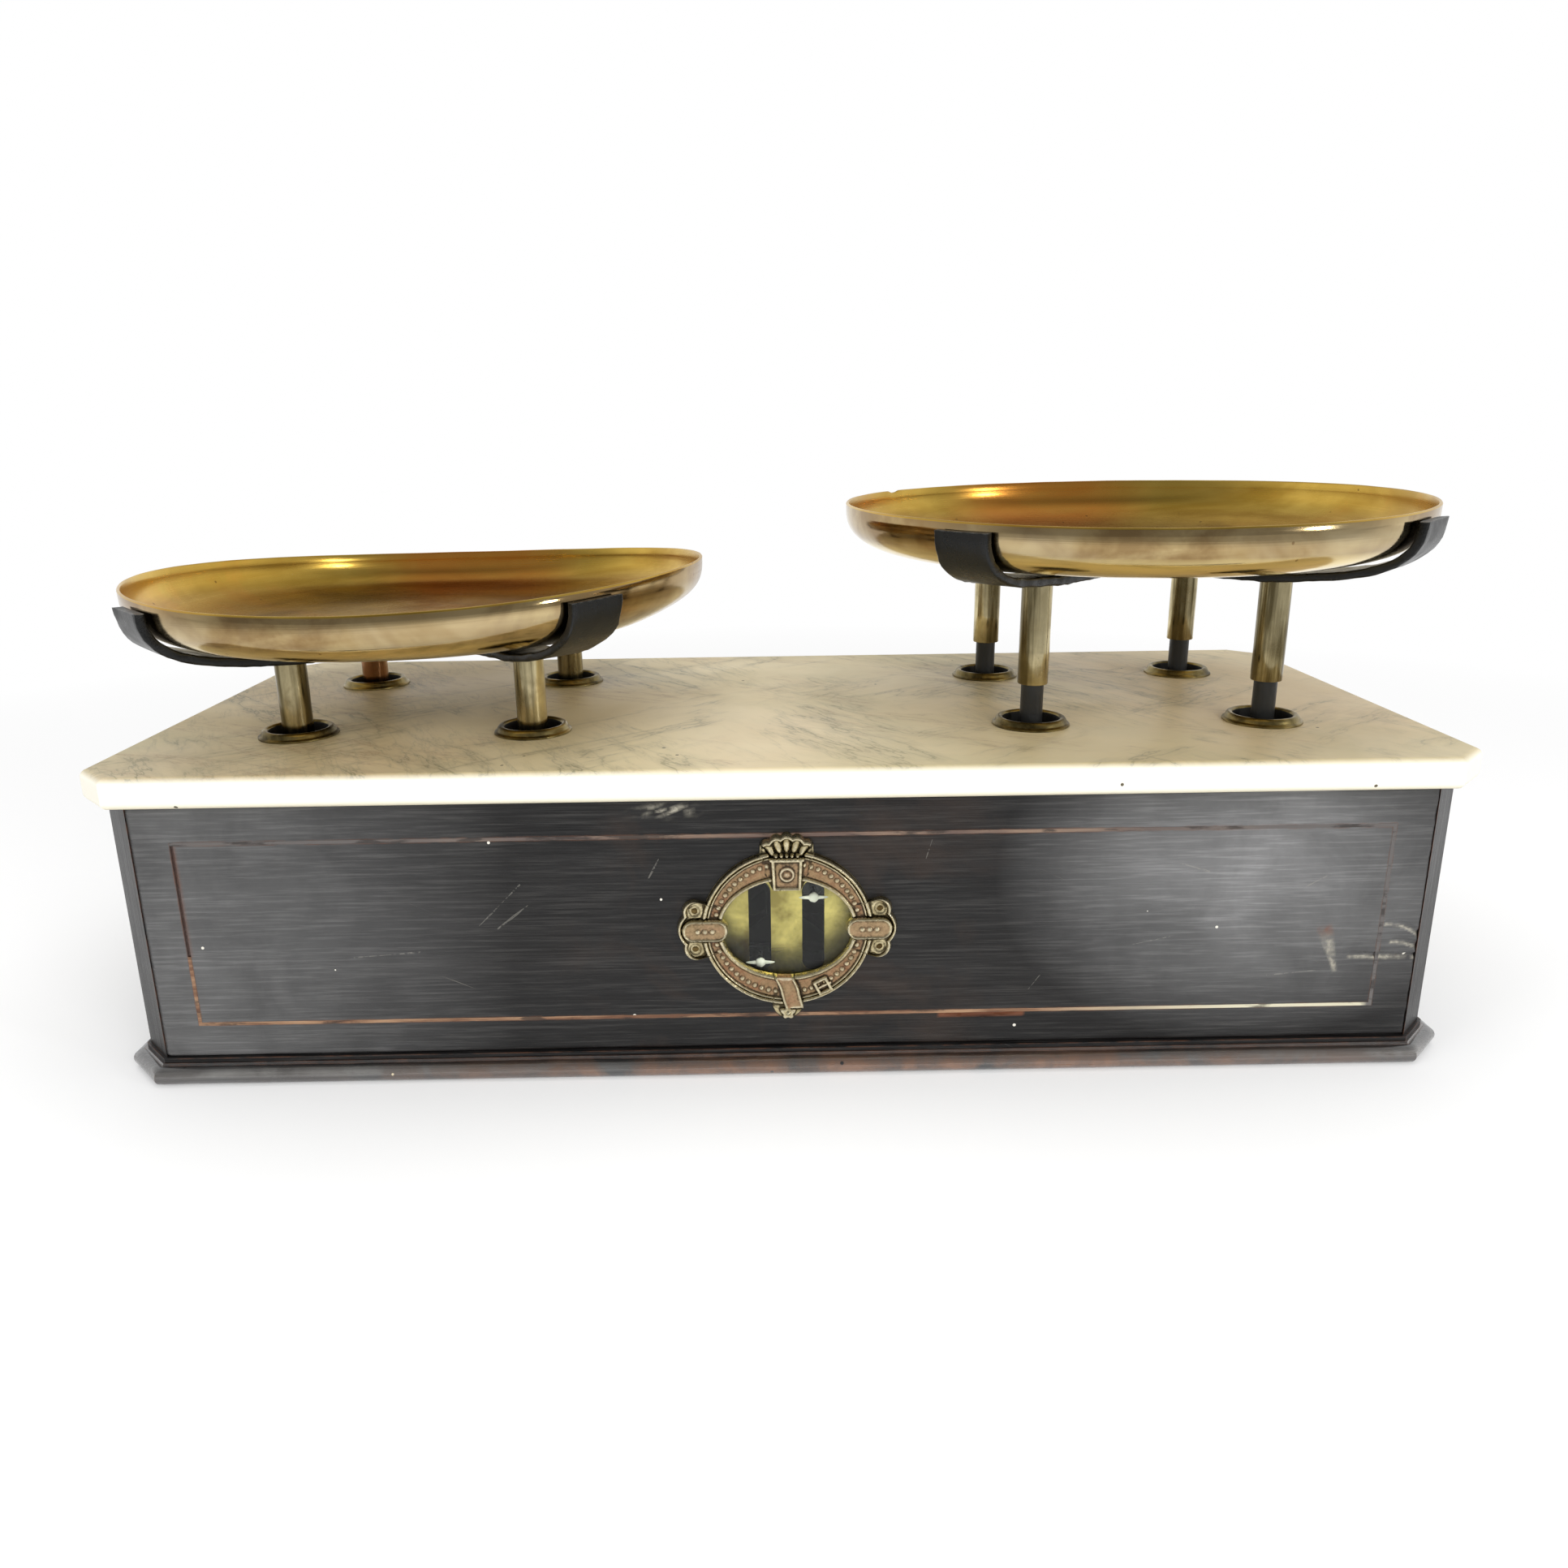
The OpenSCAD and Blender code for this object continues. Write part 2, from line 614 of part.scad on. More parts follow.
// A bracket from the yoke's front rail to the window
pointer_arm_y = -99;
pointer_arm_t = 3;
module pointer_arm(side)
    color(IRON) carried(side) mirror([side > 0 ? 0 : 1, 0, 0])
        translate([0, pointer_arm_y + pointer_arm_t / 2, 0]) {
            rotate([90, 0, 0]) linear_extrude(pointer_arm_t)
                polygon([[slot_x - 4, pointer_z - 3], [136, pointer_z - 5], [148, pointer_z + 6],
                         [148, yoke_z + yoke_t + pointer_arm_t], [132, yoke_z + yoke_t + pointer_arm_t],
                         [132, pointer_z + 16], [122, pointer_z + 6], [slot_x - 4, pointer_z + 3]]);
            translate([132, -pointer_arm_t, yoke_z + yoke_t])
                cube([16, rail_w / 2 - post_dy / 2 - pointer_arm_y + pointer_arm_t / 2, pointer_arm_t]);
        }

// A pin through the slot with a small cross bar that shows behind the glass
module pointer(side)
    color("#e9e6dc") carried(side) translate([side * slot_x, 0, pointer_z]) {
        on_front(z = 0, y = pointer_arm_y - pointer_arm_t / 2) cylinder(d = 4, h = 10.5, $fn = 40);
        translate([0, front_y + 10, 0]) rotate([90, 0, 0]) {
            cylinder(d = 6, h = 1.6, $fn = 40);
            linear_extrude(1.2) polygon([[-9, 0], [-5, 1.3], [5, 1.3], [9, 0], [5, -1.3], [-5, -1.3]]);
        }
    }

// Pans

module pan(side)
    color(BRASS) carried(side) translate([side * pan_x, 0, rim_z]) rotate_extrude($fn = 128)
        polygon(concat(bowl_edge(pan_r, pan_depth),
                       reversed(bowl_edge(pan_r - pan_wall, pan_depth - pan_wall))));

base_board();
base_moulding();
front_board();
back_board();
end_board(-1);  // left_end_board
end_board(1);  // right_end_board
corner_posts();
front_stringing();
window_bezel();
bezel_screws();
window_glass();
index_plate();
index_screws();
marble_top();
ferrules(-1);  // left_ferrules
ferrules(1);  // right_ferrules
fulcrum_stand();
fulcrum_bearings();
lever_stand(-1);  // left_lever_stand
lever_stand(1);  // right_lever_stand
lever_bearings();
stand_screws();
travel_stops();
main_beam();
centre_knife();
pan_knives();
link_knives();
tare_box();
tare_lead();
pan_arms(-1);  // left_pan_arms
pan_arms(1);  // right_pan_arms
posts(-1);  // left_posts
posts(1);  // right_posts
sleeves(-1);  // left_sleeves
sleeves(1);  // right_sleeves
yoke(-1);  // left_yoke
yoke(1);  // right_yoke
yoke_nuts(-1);  // left_yoke_nuts
yoke_nuts(1);  // right_yoke_nuts
yoke_bearings(-1);  // left_yoke_bearings
yoke_bearings(1);  // right_yoke_bearings
pointer_arm(-1);  // left_pointer_arm
pointer_arm(1);  // right_pointer_arm
pointer(-1);  // left_pointer
pointer(1);  // right_pointer
lever(-1);  // left_lever
lever(1);  // right_lever
lever_knives(-1);  // left_lever_knives
lever_knives(1);  // right_lever_knives
link(-1);  // left_link
link(1);  // right_link
pan(-1);  // left_pan
pan(1);  // right_pan
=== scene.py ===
# %% [markdown]
# A shop's counter scale: two loose brass pans on iron straps, carried by sleeved rods that
# pass through a marble slab into a black wooden case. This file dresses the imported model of
# the scale, so its first step is to load that model. Every length here is in metres, in the
# model's own frame: +X to the right, +Y to the back, +Z up, with the counter at z = 0.

# %% Load the frame
import math

import bmesh
import bpy
import numpy as np
from mathutils import Matrix, Vector, noise


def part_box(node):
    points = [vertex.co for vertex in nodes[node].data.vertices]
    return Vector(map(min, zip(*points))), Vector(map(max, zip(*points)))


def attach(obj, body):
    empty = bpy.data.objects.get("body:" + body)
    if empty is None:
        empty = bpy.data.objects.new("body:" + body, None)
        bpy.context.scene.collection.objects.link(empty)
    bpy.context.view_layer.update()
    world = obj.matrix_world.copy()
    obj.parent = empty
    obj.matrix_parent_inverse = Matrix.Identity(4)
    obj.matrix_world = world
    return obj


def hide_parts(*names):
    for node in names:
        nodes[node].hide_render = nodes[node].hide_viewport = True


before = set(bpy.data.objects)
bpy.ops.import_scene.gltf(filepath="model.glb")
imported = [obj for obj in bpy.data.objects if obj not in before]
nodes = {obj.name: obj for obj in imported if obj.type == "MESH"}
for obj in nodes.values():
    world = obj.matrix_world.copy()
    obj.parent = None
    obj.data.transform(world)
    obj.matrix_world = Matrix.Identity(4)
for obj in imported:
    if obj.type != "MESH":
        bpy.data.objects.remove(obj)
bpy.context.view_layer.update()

MM = 0.001

# %% [markdown]
# The camera stands close in front of the scale and a little above it, with a wide lens. Its
# place comes from the slab's corners, the case's face and the eight ferrules in the
# photograph, which fix the lens, the height and the small tilts together.

# %% Camera
PHOTO_WIDTH = 1932
FOCAL_PIXELS = 1405.3
AXIS_PIXEL = (953.0, 939.0)
EYE = Vector((-9.8, -579.9, 275.2)) * MM
PITCH, YAW, ROLL = math.radians(15.93), math.radians(-0.586), math.radians(-0.726)


def camera_turn(pitch, yaw, roll):
    """The camera's rotation: its right, up and backward directions as columns."""
    right = Vector((math.cos(yaw), math.sin(yaw), 0))
    level = Vector((-math.sin(yaw), math.cos(yaw), 0))
    ahead = math.cos(pitch) * level - Vector((0, 0, math.sin(pitch)))
    up = math.sin(pitch) * level + Vector((0, 0, math.cos(pitch)))
    turned_right = math.cos(roll) * right + math.sin(roll) * up
    turned_up = math.cos(roll) * up - math.sin(roll) * right
    return Matrix((turned_right, turned_up, -ahead)).transposed()


lens = bpy.data.cameras.new("camera")
lens.sensor_width = 36
lens.lens = FOCAL_PIXELS / PHOTO_WIDTH * lens.sensor_width
lens.shift_x = 0.5 - AXIS_PIXEL[0] / PHOTO_WIDTH
lens.shift_y = AXIS_PIXEL[1] / PHOTO_WIDTH - 0.5
lens.clip_start, lens.clip_end = 0.02, 60
camera = bpy.data.objects.new("camera", lens)
camera.matrix_world = Matrix.Translation(EYE) @ camera_turn(PITCH, YAW, ROLL).to_4x4()
bpy.context.scene.collection.objects.link(camera)
bpy.context.scene.camera = camera
bpy.context.scene.view_settings.view_transform = "Standard"
print("lens", round(lens.lens, 2), "mm")

# %% [markdown]
# Materials are trees of nodes, and so are the recipes for shapes further on. Here one call
# adds a node with its values, and a Wire stands for what a node puts out. Formulas with
# wires write their own maths nodes: with a wire called dirt, `dirt * 0.5` is a Multiply node.

# %% Nodes and wires
def plug(tree, value, socket):
    """Links a wire, or another node's output, to a socket, or sets the socket's own value."""
    value = getattr(value, "socket", value)
    if isinstance(value, bpy.types.NodeSocket):
        tree.links.new(value, socket)
    else:
        socket.default_value = value


def node(tree, kind, inputs=None, **settings):
    """Adds a node; inputs gives values or wires for its sockets, by name or number."""
    made = tree.nodes.new(kind)
    for name, value in settings.items():
        setattr(made, name, value)
    for key, value in (inputs or {}).items():
        plug(tree, value, made.inputs[key])
    return made


def wire(tree, kind, inputs=None, output=0, **settings):
    """Adds a node and gives one of its outputs as a wire."""
    return Wire(tree, node(tree, kind, inputs, **settings).outputs[output])


def empty_tree(owner):
    """The node tree of a material or of the world, cleared."""
    owner.use_nodes = True
    owner.node_tree.nodes.clear()
    return owner.node_tree


class Wire:
    """What a node puts out. Sums, differences and products of wires write their own nodes."""

    def __init__(self, tree, socket):
        self.tree, self.socket = tree, socket

    def __add__(self, other):
        return maths("ADD", self, other)

    def __sub__(self, other):
        return maths("SUBTRACT", self, other)

    def __rsub__(self, other):
        return maths("SUBTRACT", other, self)

    def __mul__(self, other):
        return maths("MULTIPLY", self, other)

    def ramp(self, low, high, to_low=0.0, to_high=1.0):
        """Carries low..high to to_low..to_high, clamped."""
        return wire(self.tree, "ShaderNodeMapRange", {0: self, 1: low, 2: high, 3: to_low, 4: to_high})

    def parts(self):
        """The X, Y and Z of a vector."""
        return [Wire(self.tree, out) for out in node(self.tree, "ShaderNodeSeparateXYZ", {0: self}).outputs]


def maths(operation, a, b=0.0, clamp=False):
    """Any maths node; a or b has to be a wire."""
    tree = (a if isinstance(a, Wire) else b).tree
    return wire(tree, "ShaderNodeMath", {0: a, 1: b}, operation=operation, use_clamp=clamp)


def vectors(operation, a, b=(0, 0, 0)):
    """Any vector maths node; a has to be a wire."""
    output = "Value" if operation in ("DOT_PRODUCT", "LENGTH") else "Vector"
    return wire(a.tree, "ShaderNodeVectorMath", {0: a, 1: b}, output, operation=operation)


def joined(x, y, z):
    """The vector of three parts, where x has to be a wire."""
    return wire(x.tree, "ShaderNodeCombineXYZ", {0: x, 1: y, 2: z})


def noise_of(spot, scale, detail=4.0, roughness=0.55, distortion=0.0):
    return wire(spot.tree, "ShaderNodeTexNoise", {"Vector": spot, "Scale": scale, "Detail": detail,
                "Roughness": roughness, "Distortion": distortion}, "Fac")


def turned(spot, degrees=(0, 0, 0), centre=(0, 0, 0)):
    """Coordinates moved to a piece's centre and turned, so that a pattern lies along it."""
    inputs = {"Vector": vectors("SUBTRACT", spot, centre), "Rotation": [math.radians(a) for a in degrees]}
    return wire(spot.tree, "ShaderNodeMapping", inputs)

# %% [markdown]
# Some effects show on many finishes: edges rubbed bare, blotches of dirt or tarnish, small
# specks, long scratches or grain, and the fine rings left by a lathe. Each is a node group,
# built once, and each material places it with its own sizes. A group only puts out masks
# and values; the shader itself stays in the material.

# %% Groups for shared effects
def effect(name, outputs=("Mask",), **inputs):
    """A new group: returns its tree, its inputs' wires by name, and a function that sets an output."""
    tree = bpy.data.node_groups.new(name, "ShaderNodeTree")
    tree.interface.new_socket("Vector", in_out="INPUT", socket_type="NodeSocketVector")
    for label, value in inputs.items():
        tree.interface.new_socket(label, in_out="INPUT", socket_type="NodeSocketFloat").default_value = value
    for label in outputs:
        tree.interface.new_socket(label, in_out="OUTPUT", socket_type="NodeSocketFloat")
    entry, leave = tree.nodes.new("NodeGroupInput"), tree.nodes.new("NodeGroupOutput")
    given = {socket.name: Wire(tree, socket) for socket in entry.outputs}
    return tree, given, lambda value, label="Mask": plug(tree, value, leave.inputs[label])


def make_worn_edges():
    """Where the surface turns sharply, broken up by noise."""
    tree, given, put = effect("worn_edges", Radius=0.001, Breakup=300.0, Amount=1.0)
    rounded = wire(tree, "ShaderNodeBevel", {"Radius": given["Radius"]}, samples=4)
    flat = wire(tree, "ShaderNodeNewGeometry", output="Normal")
    turn = 1.0 - vectors("DOT_PRODUCT", rounded, flat)
    broken = noise_of(given["Vector"], given["Breakup"], detail=5)
    strength = turn.ramp(0.01, 0.22) * broken.ramp(0.38, 0.62)
    put(maths("MULTIPLY", strength, given["Amount"], clamp=True))
    return tree


def make_blotches():
    """Soft patches of any size: tarnish, stain, dirt."""
    tree, given, put = effect("blotches", Scale=30.0, Low=0.45, High=0.65)
    patch = noise_of(given["Vector"], given["Scale"], detail=5, roughness=0.6, distortion=0.4)
    put(patch.ramp(given["Low"], given["High"]))
    return tree


def make_specks():
    """Small separate dots, with Chance the share of cells that hold one."""
    tree, given, put = effect("specks", Scale=200.0, Size=0.2, Chance=0.1)
    cells = node(tree, "ShaderNodeTexVoronoi", {"Vector": given["Vector"], "Scale": given["Scale"]}).outputs
    dot = maths("LESS_THAN", cells["Distance"], given["Size"])
    pick = wire(tree, "ShaderNodeSeparateColor", {0: cells["Color"]})
    put(dot * maths("LESS_THAN", pick, given["Chance"]))
    return tree


def make_streaks():
    """Noise drawn out along X: wood grain, brushing, scratches."""
    tree, given, put = effect("streaks", ("Value", "Mask"), Along=4.0, Across=400.0, Low=0.3, High=0.7)
    size = joined(given["Along"], given["Across"], given["Across"])
    value = noise_of(vectors("MULTIPLY", given["Vector"], size), 1.0, detail=6, roughness=0.6)
    put(value, "Value")
    put(value.ramp(given["Low"], given["High"]))
    return tree


def make_turned_rings():
    """Rings round the Z axis, as a lathe or polishing wheel leaves them, with slow changes along them."""
    tree, given, put = effect("turned_rings", ("Fine", "Broad"), Rings=900.0, Sweep=3.0)
    flat = vectors("MULTIPLY", given["Vector"], (1, 1, 0))
    way_x, way_y, _ = vectors("NORMALIZE", flat).parts()
    out = vectors("LENGTH", flat) + given["Vector"].parts()[2]
    for label, rings in (("Fine", given["Rings"]), ("Broad", 40.0)):
        spot = joined(way_x * given["Sweep"], way_y * given["Sweep"], out * rings)
        rough = (1.0, 3) if label == "Fine" else (0.7, 4, 0.6, 0.6)
        put(noise_of(spot, *rough), label)
    return tree


def make_scratch():
    """One thin straight line on the case's front, from a place X, Z, leaning from the level."""
    tree, given, put = effect("scratch", X=0.0, Z=0.0, Lean=0.0, Length=0.02, Width=0.00022)
    away = vectors("SUBTRACT", given["Vector"], joined(given["X"], 0.0, given["Z"]))
    way = joined(maths("COSINE", given["Lean"]), 0.0, maths("SINE", given["Lean"]))
    along = vectors("DOT_PRODUCT", away, way)
    across = vectors("LENGTH", vectors("CROSS_PRODUCT", vectors("MULTIPLY", away, (1, 0, 1)), way))
    wave = (noise_of(given["Vector"], 90.0) - 0.5) * 0.0016
    thin = maths("LESS_THAN", maths("ABSOLUTE", across - wave), given["Width"])
    within = maths("GREATER_THAN", along, 0.0) * maths("LESS_THAN", along, given["Length"])
    put(thin * within * noise_of(given["Vector"], 500.0).ramp(0.4, 0.5))
    return tree


GROUPS = {tree.name: tree for tree in (make_worn_edges(), make_blotches(), make_specks(), make_streaks(),
                                       make_turned_rings(), make_scratch())}
print("effect groups:", sorted(GROUPS))

# %% [markdown]
# A finish starts as one Principled BSDF. Its colour is laid on in coats, as a painter would
# do it: each coat covers what lies under it as far as its mask says. Colours are given as on
# a paint chart, from 0 to 255.

# %% Starting a material
def linear(colour, times=1.0):
    """A chart colour in the linear values that shaders use, times a brightness."""
    values = (((c / 255 + 0.055) / 1.055) ** 2.4 if c > 10 else c / 255 / 12.92 for c in colour)
    return (*(min(1.0, value * times) for value in values), 1.0)


def mixed(share, *colours):
    """A colour between two, each a chart colour, a linear one with its alpha, or a wire."""
    a, b = (linear(c) if isinstance(c, tuple) and len(c) == 3 else c for c in colours)
    return wire(share.tree, "ShaderNodeMix", {0: share, 6: a, 7: b}, 2, data_type="RGBA")


class Finish:
    """A material in the making."""

    def __init__(self, name, metallic=0.0, **fixed):
        self.material = bpy.data.materials.new(name)
        self.tree = empty_tree(self.material)
        self.shader = node(self.tree, "ShaderNodeBsdfPrincipled", {"Metallic": metallic})
        for label, value in fixed.items():
            self.shader.inputs[label.replace("_", " ")].default_value = value
        self.output = node(self.tree, "ShaderNodeOutputMaterial", {"Surface": self.shader.outputs[0]})
        self.spot = wire(self.tree, "ShaderNodeTexCoord", output="Object")
        self.colour = None

    def place(self, group, spot=None, output="Mask", **values):
        """Places an effect group, on the object's coordinates or on turned ones."""
        return wire(self.tree, "ShaderNodeGroup", {"Vector": spot or self.spot, **values}, output,
                    node_tree=GROUPS[group])

    def attribute(self, label):
        """A number that the mesh carries for each of its points."""
        return wire(self.tree, "ShaderNodeAttribute", output="Fac", attribute_name=label)

    def coat(self, share, colour, over=None):
        """Lays on one more colour; over gives the ground under the first one."""
        self.colour = mixed(share, over or self.colour, colour)

    def done(self, roughness, height=None, strength=0.3, distance=0.0005):
        """Links the colour, the roughness and, through a Bump node, the height of the surface."""
        plug(self.tree, self.colour, self.shader.inputs["Base Color"])
        plug(self.tree, roughness, self.shader.inputs["Roughness"])
        if height is not None:
            relief = {"Height": height, "Strength": strength, "Distance": distance}
            plug(self.tree, wire(self.tree, "ShaderNodeBump", relief), self.shader.inputs["Normal"])
        return self.material

# %% [markdown]
# The case is pear or beech stained black and polished, so the grain shows as fine level
# lines under a sheen. A century of use left grey rubbed streaks, which are also painted sheen,
# fine lines of highlight along the grain; and fine pale scratches, a few white specks of paint,
# and reddish-brown wood where the edges are worn through.

# %% Ebonised wood
def make_ebonised(name, along=(0, 0, 0), front=False, moulding=False):
    varnish = {"Coat_Weight": 1.0, "Coat_Roughness": 0.14, "Coat_IOR": 1.9} if moulding else {}
    wood = Finish(name, Specular_IOR_Level=0.6 if moulding else 0.4, **varnish)
    grain = turned(wood.spot, along)
    fine = wood.place("streaks", grain, "Value", Along=16.0, Across=1000.0)
    broad = wood.place("streaks", grain, Along=3.0, Across=60.0, Low=0.35, High=0.7)
    haze = wood.place("blotches", Scale=11.0, Low=0.42, High=0.72)
    rubbed = wood.place("streaks", grain, Along=36.0, Across=900.0, Low=0.48, High=0.66)
    wood.coat(broad, (27, 26, 26), over=(14, 14, 15))
    wood.coat(haze * 0.4, (44, 42, 41))
    # Grey rubbed streaks: partly wear, partly painted sheen as fine highlight lines along the grain.
    wood.coat(rubbed * 0.2, (92, 90, 87))
    wood.coat(fine.ramp(0.46, 0.6) * 0.6, (7, 6, 6))
    if front:
        add_painted_sheen_and_marks(wood, rubbed)
    if moulding:
        add_moulding_wear(wood)
    worn = wood.place("worn_edges", Radius=0.0012, Breakup=160.0, Amount=0.9)
    wood.coat(worn * 0.85, (104, 66, 44))
    leaning = turned(wood.spot, (0, -24, 0))
    scratches = wood.place("streaks", leaning, Along=12.0, Across=700.0, Low=0.72, High=0.75)
    wood.coat(scratches * 0.45, (128, 124, 116))
    flecks = wood.place("specks", Scale=70.0, Size=0.05, Chance=0.22 if front else 0.04)
    wood.coat(flecks, (226, 222, 210))
    gloss = 0.25 if moulding else 0.34
    roughness = haze.ramp(0, 1, gloss, gloss + 0.14) + fine.ramp(0.3, 0.7, -0.06, 0.08)
    return wood.done(roughness, fine, strength=0.5, distance=0.0006)

# %% Wear and painted sheen on the front, wear and a painted highlight on the moulding
# Middle of the painted sheen near the right end of the front.
SHEEN_AT = Vector((205, 0, 92)) * MM
# Each scratch on the front: x and z of its start, lean in degrees, length.
SCRATCHES = [(-134, 72, 45, 27), (-128, 69, 38, 20), (-60, 92, 62, 11), (107, 37, 55, 12), (170, 96, -18, 14),
             (213, 42, 5, 23), (152, 58, 12, 17), (-190, 58, 4, 30), (60, 100, 74, 9), (226, 84, 30, 12)]


def add_painted_sheen_and_marks(wood, rubbed):
    """The front is painted grey towards both ends as painted sheen, the shine of the lamps on the polish, and
    is scratched, scuffed and chipped in places.
    """
    x = wood.spot.parts()[0]
    # Painted sheen: lighter grey towards the left end and round a spot high at the right end, the shine of
    # the lamps on the polish.
    left = x.ramp(-120 * MM, -240 * MM, 0.0, 0.4)
    far = vectors("LENGTH", vectors("MULTIPLY", turned(wood.spot, centre=SHEEN_AT), (1, 0, 1.4)))
    right = far.ramp(115 * MM, 15 * MM, 0.0, 0.8)
    mottle = wood.place("blotches", Scale=24.0, Low=0.36, High=0.62)
    painted_sheen = maths("MAXIMUM", left, right) * rubbed.ramp(0, 1, 0.72, 1.0) * mottle.ramp(0, 1, 0.65, 1.0)
    wood.coat(painted_sheen, (156, 156, 156))
    stains = wood.place("blotches", Scale=19.0, Low=0.5, High=0.62)
    wood.coat(stains * maths("ABSOLUTE", x).ramp(110 * MM, 60 * MM, 0.0, 0.4), (56, 42, 33))
    for start_x, start_z, lean, length in SCRATCHES:
        line = wood.place("scratch", X=start_x * MM, Z=start_z * MM, Lean=math.radians(lean),
                          Length=length * MM)
        wood.coat(line * 0.32, (150, 147, 138))
    grit = wood.place("blotches", Scale=420.0, Low=0.4, High=0.6)
    wood.coat(wood.attribute("bare") * 0.9, (112, 66, 42))
    wood.coat(wood.attribute("scuff") * grit.ramp(0, 1, 0.3, 0.95), (192, 186, 168))


def add_moulding_wear(wood):
    """Worm holes, a painted highlight along the bead's crown, and red-brown wood low on the bead, most in the
    middle.
    """
    x, _, height = wood.spot.parts()
    worn = wood.place("blotches", Scale=38.0, Low=0.36, High=0.58)
    middle = maths("ABSOLUTE", x - 40 * MM).ramp(260 * MM, 90 * MM, 0.05, 1.0)
    # Painted highlight: a pale grey band along the top of the bead, stronger towards the ends.
    painted_crown_highlight = height.ramp(3.5 * MM, 5.5 * MM) * height.ramp(8 * MM, 6.5 * MM)
    ends = (0.6 - middle * 0.4) * maths("ABSOLUTE", x).ramp(290 * MM, 283 * MM)
    wood.coat(painted_crown_highlight * ends * worn.ramp(0, 1, 1.0, 0.45), (140, 138, 134))
    wood.coat(height.ramp(8 * MM, 4 * MM, 0.25, 1.0) * worn * middle * 0.85, (128, 88, 60))
    wood.coat(wood.place("specks", Scale=130.0, Size=0.12, Chance=0.10), (8, 6, 5))
    wood.coat(wood.place("specks", Scale=210.0, Size=0.14, Chance=0.035), (196, 182, 150))

# %% [markdown]
# The slab is pale grey-veined marble, gone warm and dull on top with age. Its upright edges are
# painted much lighter, a painted highlight of the light from the front. A vein lies where a noise
# drawn out along a diagonal passes through its middle value: a thin dark line, with a soft haze
# round it. Four sets cross each other.

# %% Marble
# Each set of veins: turn in degrees, scale along and across, half width, strength, colour.
VEINS = [(52, 6, 26, 0.012, 0.8, (122, 118, 92)), (-38, 5, 20, 0.010, 0.65, (134, 126, 100)),
         (28, 8, 44, 0.008, 0.6, (150, 122, 92)), (64, 12, 70, 0.010, 0.5, (140, 134, 108))]


def make_marble():
    stone = Finish("veined_marble", Subsurface_Weight=0.06, Subsurface_Radius=(0.004, 0.003, 0.002))
    clouds = stone.place("blotches", Scale=8.0, Low=0.36, High=0.66)
    green = stone.place("blotches", turned(stone.spot, (0, 0, 30)), Scale=5.0, Low=0.46, High=0.66)
    pink = stone.place("blotches", turned(stone.spot, (0, 0, 70)), Scale=4.0, Low=0.48, High=0.64)
    stone.coat(clouds, (203, 188, 150), over=(218, 203, 164))
    stone.coat(green * 0.55, (184, 178, 142))
    stone.coat(pink * 0.4, (218, 193, 158))
    for turn, along, across, thin, seen, tint in VEINS:
        way = turned(stone.spot, (0, 0, turn))
        off = maths("ABSOLUTE", stone.place("streaks", way, "Value", Along=along, Across=across) - 0.5)
        haze = off.ramp(0.0, 5 * thin, 0.35 * seen, 0.0)
        line = maths("MAXIMUM", off.ramp(0.0, thin, seen, 0.0), haze)
        stone.coat(line * stone.place("blotches", way, Scale=9.0, Low=0.44, High=0.56), tint)
    foot = stone.spot.parts()[2].ramp(132 * MM, 129.5 * MM)
    # Painted highlight: faces that do not look up are painted near white, as lit from the front.
    painted_lit_edges = wire(stone.tree, "ShaderNodeNewGeometry", output="Normal").parts()[2].ramp(0.93, 0.35)
    stone.coat(painted_lit_edges * 0.92, mixed(foot * 0.5, (254, 250, 236), (240, 228, 184)))
    stone.coat(stone.place("specks", Scale=150.0, Size=0.13, Chance=0.012), (92, 84, 66))
    return stone.done(clouds.ramp(0, 1, 0.42, 0.55), clouds, strength=0.05)

# %% [markdown]
# Brass shows in five states here: the polished pans, the drawn sleeves, the dark old
# ferrules, the cast window surround with brown lacquer in its hollows, and the yellow index
# plate. One function makes the sleeves, ferrules, screws and plate, from a bright and a dull
# colour; the pans and the surround have their own further on.

# %% Brass
def make_brass(name, bright, dull, rough, tarnish=0.5, scale=22.0, along_z=False, tint=None):
    """Brass, brushed along Z where it is drawn, with dark bands along Z as painted reflections of the
    room, and with tint a patch of another colour, given as its centre, stretch, reach and colour."""
    brass = Finish(name, metallic=1.0)
    patches = brass.place("blotches", Scale=scale, Low=0.4, High=0.66)
    brushed = turned(brass.spot, (0, 90 if along_z else 0, 0))
    brass.coat(patches * tarnish, dull, over=bright)
    if along_z:
        # Painted reflection: dark bands along the tube, as the room mirrored in it.
        painted_reflection_bands = brass.place("streaks", brushed, Along=5.0, Across=95.0, Low=0.44, High=0.56)
        brass.coat(painted_reflection_bands * 0.85, (78, 66, 34))
    if tint:
        centre, stretch, reach, tinge = tint
        away = vectors("LENGTH", vectors("MULTIPLY", turned(brass.spot, centre=centre), stretch))
        brass.coat(away.ramp(reach, reach * 0.5, 0.0, 0.8) * patches.ramp(0, 1, 0.7, 1.0), tinge)
    brass.coat(brass.place("specks", Scale=scale * 14, Size=0.17, Chance=0.05) * 0.5, linear(dull, 0.35))
    worn = brass.place("worn_edges", Radius=0.0008, Breakup=240.0, Amount=0.5)
    brass.coat(worn * 0.8, linear(bright, 1.25))
    relief = brass.place("streaks", brushed, "Value", Along=20.0, Across=1600.0)
    roughness = patches.ramp(0, 1, rough - 0.05, rough + 0.12) + relief.ramp(0.3, 0.7, -0.04, 0.06)
    return brass.done(roughness, relief, strength=0.12, distance=0.0002)

# %% [markdown]
# The straps and rods are black-painted iron, slightly glossy, with the paint rubbed grey on the
# arrises; the grey edges are also a painted highlight along them. The mechanism inside the case
# is bare cast iron with hard steel knives.

